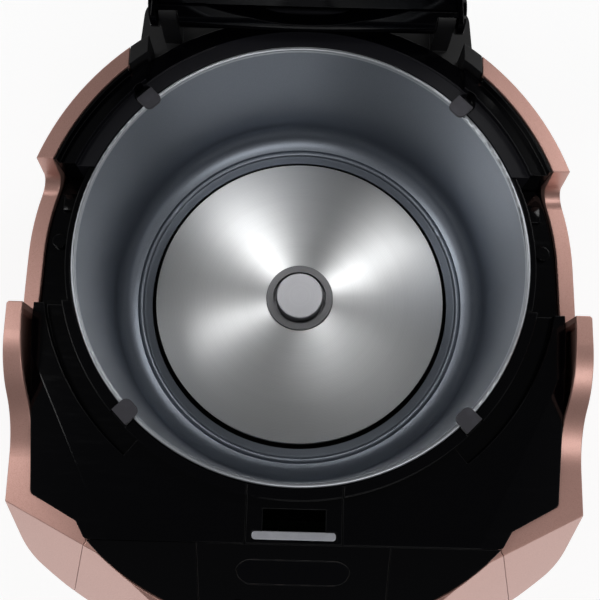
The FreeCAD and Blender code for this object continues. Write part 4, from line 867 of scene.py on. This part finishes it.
@dataclass(frozen=True)
class Lamp:
    """Soft rectangular lamp."""

    name: str
    place: Vector
    aim: Vector
    width: float
    height: float
    power: float
    spread: float = 180.0

    def build(self) -> None:
        """Makes the lamp, unseen by the camera."""
        data = bpy.data.lights.new(self.name, "AREA")
        data.shape = "RECTANGLE"
        data.size, data.size_y = self.width, self.height
        data.energy = self.power
        data.spread = math.radians(self.spread)
        lamp = placed(self.name, data)
        lamp.location = self.place
        lamp.rotation_mode = "QUATERNION"
        lamp.rotation_quaternion = (self.aim - self.place).to_track_quat("-Z", "Y")
        lamp.visible_camera = False


@dataclass
class Studio:
    """Plain white sweep, soft lamps and a room that is pale at both sides and dim elsewhere."""

    floor_size: float = 6.0
    floor_grey: float = 0.3
    floor_glow: float = 0.82
    near: float = 0.5
    far: float = 1.1
    side_light: float = 0.72
    dim_light: float = 0.112
    lamp_distance: float = 1.6
    side_lamp: float = 0.35
    lid_spread: float = 56.0
    rim: Vector = field(default_factory=lambda: Vector((0, 0, 0.16)))
    plate: Vector = field(default_factory=lambda: Vector((0, 0, 0.08)))

    def build(self) -> None:
        """Makes the floor, the room and the lamps."""
        self._floor()
        self._room()
        for lamp in self._lamps():
            lamp.build()
            LOG.info("%s: %.2f W", lamp.name, lamp.power)

    def _lamps(self) -> List[Lamp]:
        """One lamp in front, one at each side and two small ones before the lid."""
        side = self.side_lamp
        left_lid = Vector((-0.046, 0.129, 0.336))
        right_lid = Vector((0.085, 0.124, 0.336))
        return [
            Lamp("front_lamp", self._away(-68.0, 52.0), self.rim, 1.2, 0.5, 5.0),
            Lamp("right_lamp", self._away(40.0, 48.0), self.rim, side, side, 2.8),
            Lamp("left_lamp", self._away(176.0, 57.0), self.rim, side, side, 3.1),
            Lamp("left_lid_lamp", left_lid, self.plate, 0.05, 0.05, 0.014, self.lid_spread),
            Lamp("right_lid_lamp", right_lid, self.plate, 0.06, 0.06, 0.011, self.lid_spread),
        ]

    def _away(self, azimuth: float, height: float) -> Vector:
        """Place of a lamp in a direction from the well's rim.

        Args:
            azimuth: Direction in degrees from +X towards +Y.
            height: Degrees above the horizon.

        Returns:
            The place.
        """
        a, e = math.radians(azimuth), math.radians(height)
        out = Vector((math.cos(a) * math.cos(e), math.sin(a) * math.cos(e), math.sin(e)))
        return self.rim + self.lamp_distance * out

    def _floor(self) -> None:
        """White floor that keeps a soft shadow and fades in far reflections."""
        half = self.floor_size / 2
        mesh = bpy.data.meshes.new("floor")
        corners = [(-half, -half, 0), (half, -half, 0), (half, half, 0), (-half, half, 0)]
        mesh.from_pydata(corners, [], [(0, 1, 2, 3)])
        floor = placed("floor", mesh)
        shade = Shade("floor_white")
        x, y, _ = shade.axes()
        near = ((x * x + y * y) ** 0.5).rise(self.far, self.near)
        rays = shade.node("ShaderNodeLightPath").outputs
        mirrored = Level(shade, rays["Is Glossy Ray"]) + Level(shade, rays["Is Transmission Ray"])
        looked = Level(shade, rays["Is Camera Ray"]) + mirrored * near
        sheet = shade.node("ShaderNodeBsdfDiffuse", None, {"Color": (self.floor_grey,) * 3})
        glow = shade.node("ShaderNodeEmission", None, {"Strength": looked * self.floor_glow})
        both = shade.node("ShaderNodeAddShader", None, {0: sheet.outputs[0], 1: glow.outputs[0]})
        shade.node("ShaderNodeOutputMaterial", None, {"Surface": both.outputs[0]})
        mesh.materials.append(shade.material)

    def _room(self) -> None:
        """Light of the room: pale low at the sides and the back, dim overhead and in front."""
        world = bpy.data.worlds.new("room")
        bpy.context.scene.world = world
        world.use_nodes = True
        room = Nodes(world.node_tree)
        room.tree.nodes.clear()
        _, y, z = room.split(room.node("ShaderNodeTexCoord").outputs["Generated"])
        pale = z.rise(0.75, 0.35) * y.rise(-0.75, -0.3)
        camera = Level(room, room.node("ShaderNodeLightPath").outputs["Is Camera Ray"])
        strength = camera + (1 - camera) * (self.dim_light + pale * self.side_light)
        light = room.node("ShaderNodeBackground", None, {"Color": WHITE, "Strength": strength})
        room.node("ShaderNodeOutputWorld", None, {0: light.outputs[0]})


@dataclass
class Viewpoint:
    """Camera at the photograph's place, looking down into the well."""

    elevation: float = 76.05
    roll: float = 2.0
    yaw: float = -0.5
    distance: float = 0.42045
    target: Vector = field(default_factory=lambda: Vector((0.0003, -0.02606, 0.18)))
    lens: float = 48.0

    def build(self) -> None:
        """Makes the camera."""
        e, r = math.radians(self.elevation), math.radians(self.roll)
        forward = Vector((0, math.cos(e), -math.sin(e)))
        level = Vector((1, 0, 0))
        above = level.cross(forward)
        right = level * math.cos(r) + above * math.sin(r)
        up = above * math.cos(r) - level * math.sin(r)
        place = self.target - forward * self.distance
        matrix = Matrix((right, up, -forward)).transposed().to_4x4()
        matrix.translation = place
        data = bpy.data.cameras.new("camera")
        data.sensor_width = 36.0
        data.lens = self.lens
        data.clip_start, data.clip_end = 0.01, 50.0
        camera = placed("camera", data)
        camera.matrix_world = Matrix.Rotation(math.radians(self.yaw), 4, "Z") @ matrix
        bpy.context.scene.camera = camera


def main() -> None:
    """Dresses the cooker, then sets up the studio and the camera."""
    logging.basicConfig(level=logging.INFO, format="%(name)s: %(message)s")
    bpy.context.scene.view_settings.view_transform = "Standard"
    cabinet = Cabinet(frame["nodes"], frame["record"])
    cabinet.dress()
    for fittings in (InnerLidRelief, RearRibs, KeyRings, DeckTrim, RecessCatches, PressedSprings):
        fittings(cabinet).build()
    Studio().build()
    Viewpoint().build()


if __name__ == "__main__":
    main()
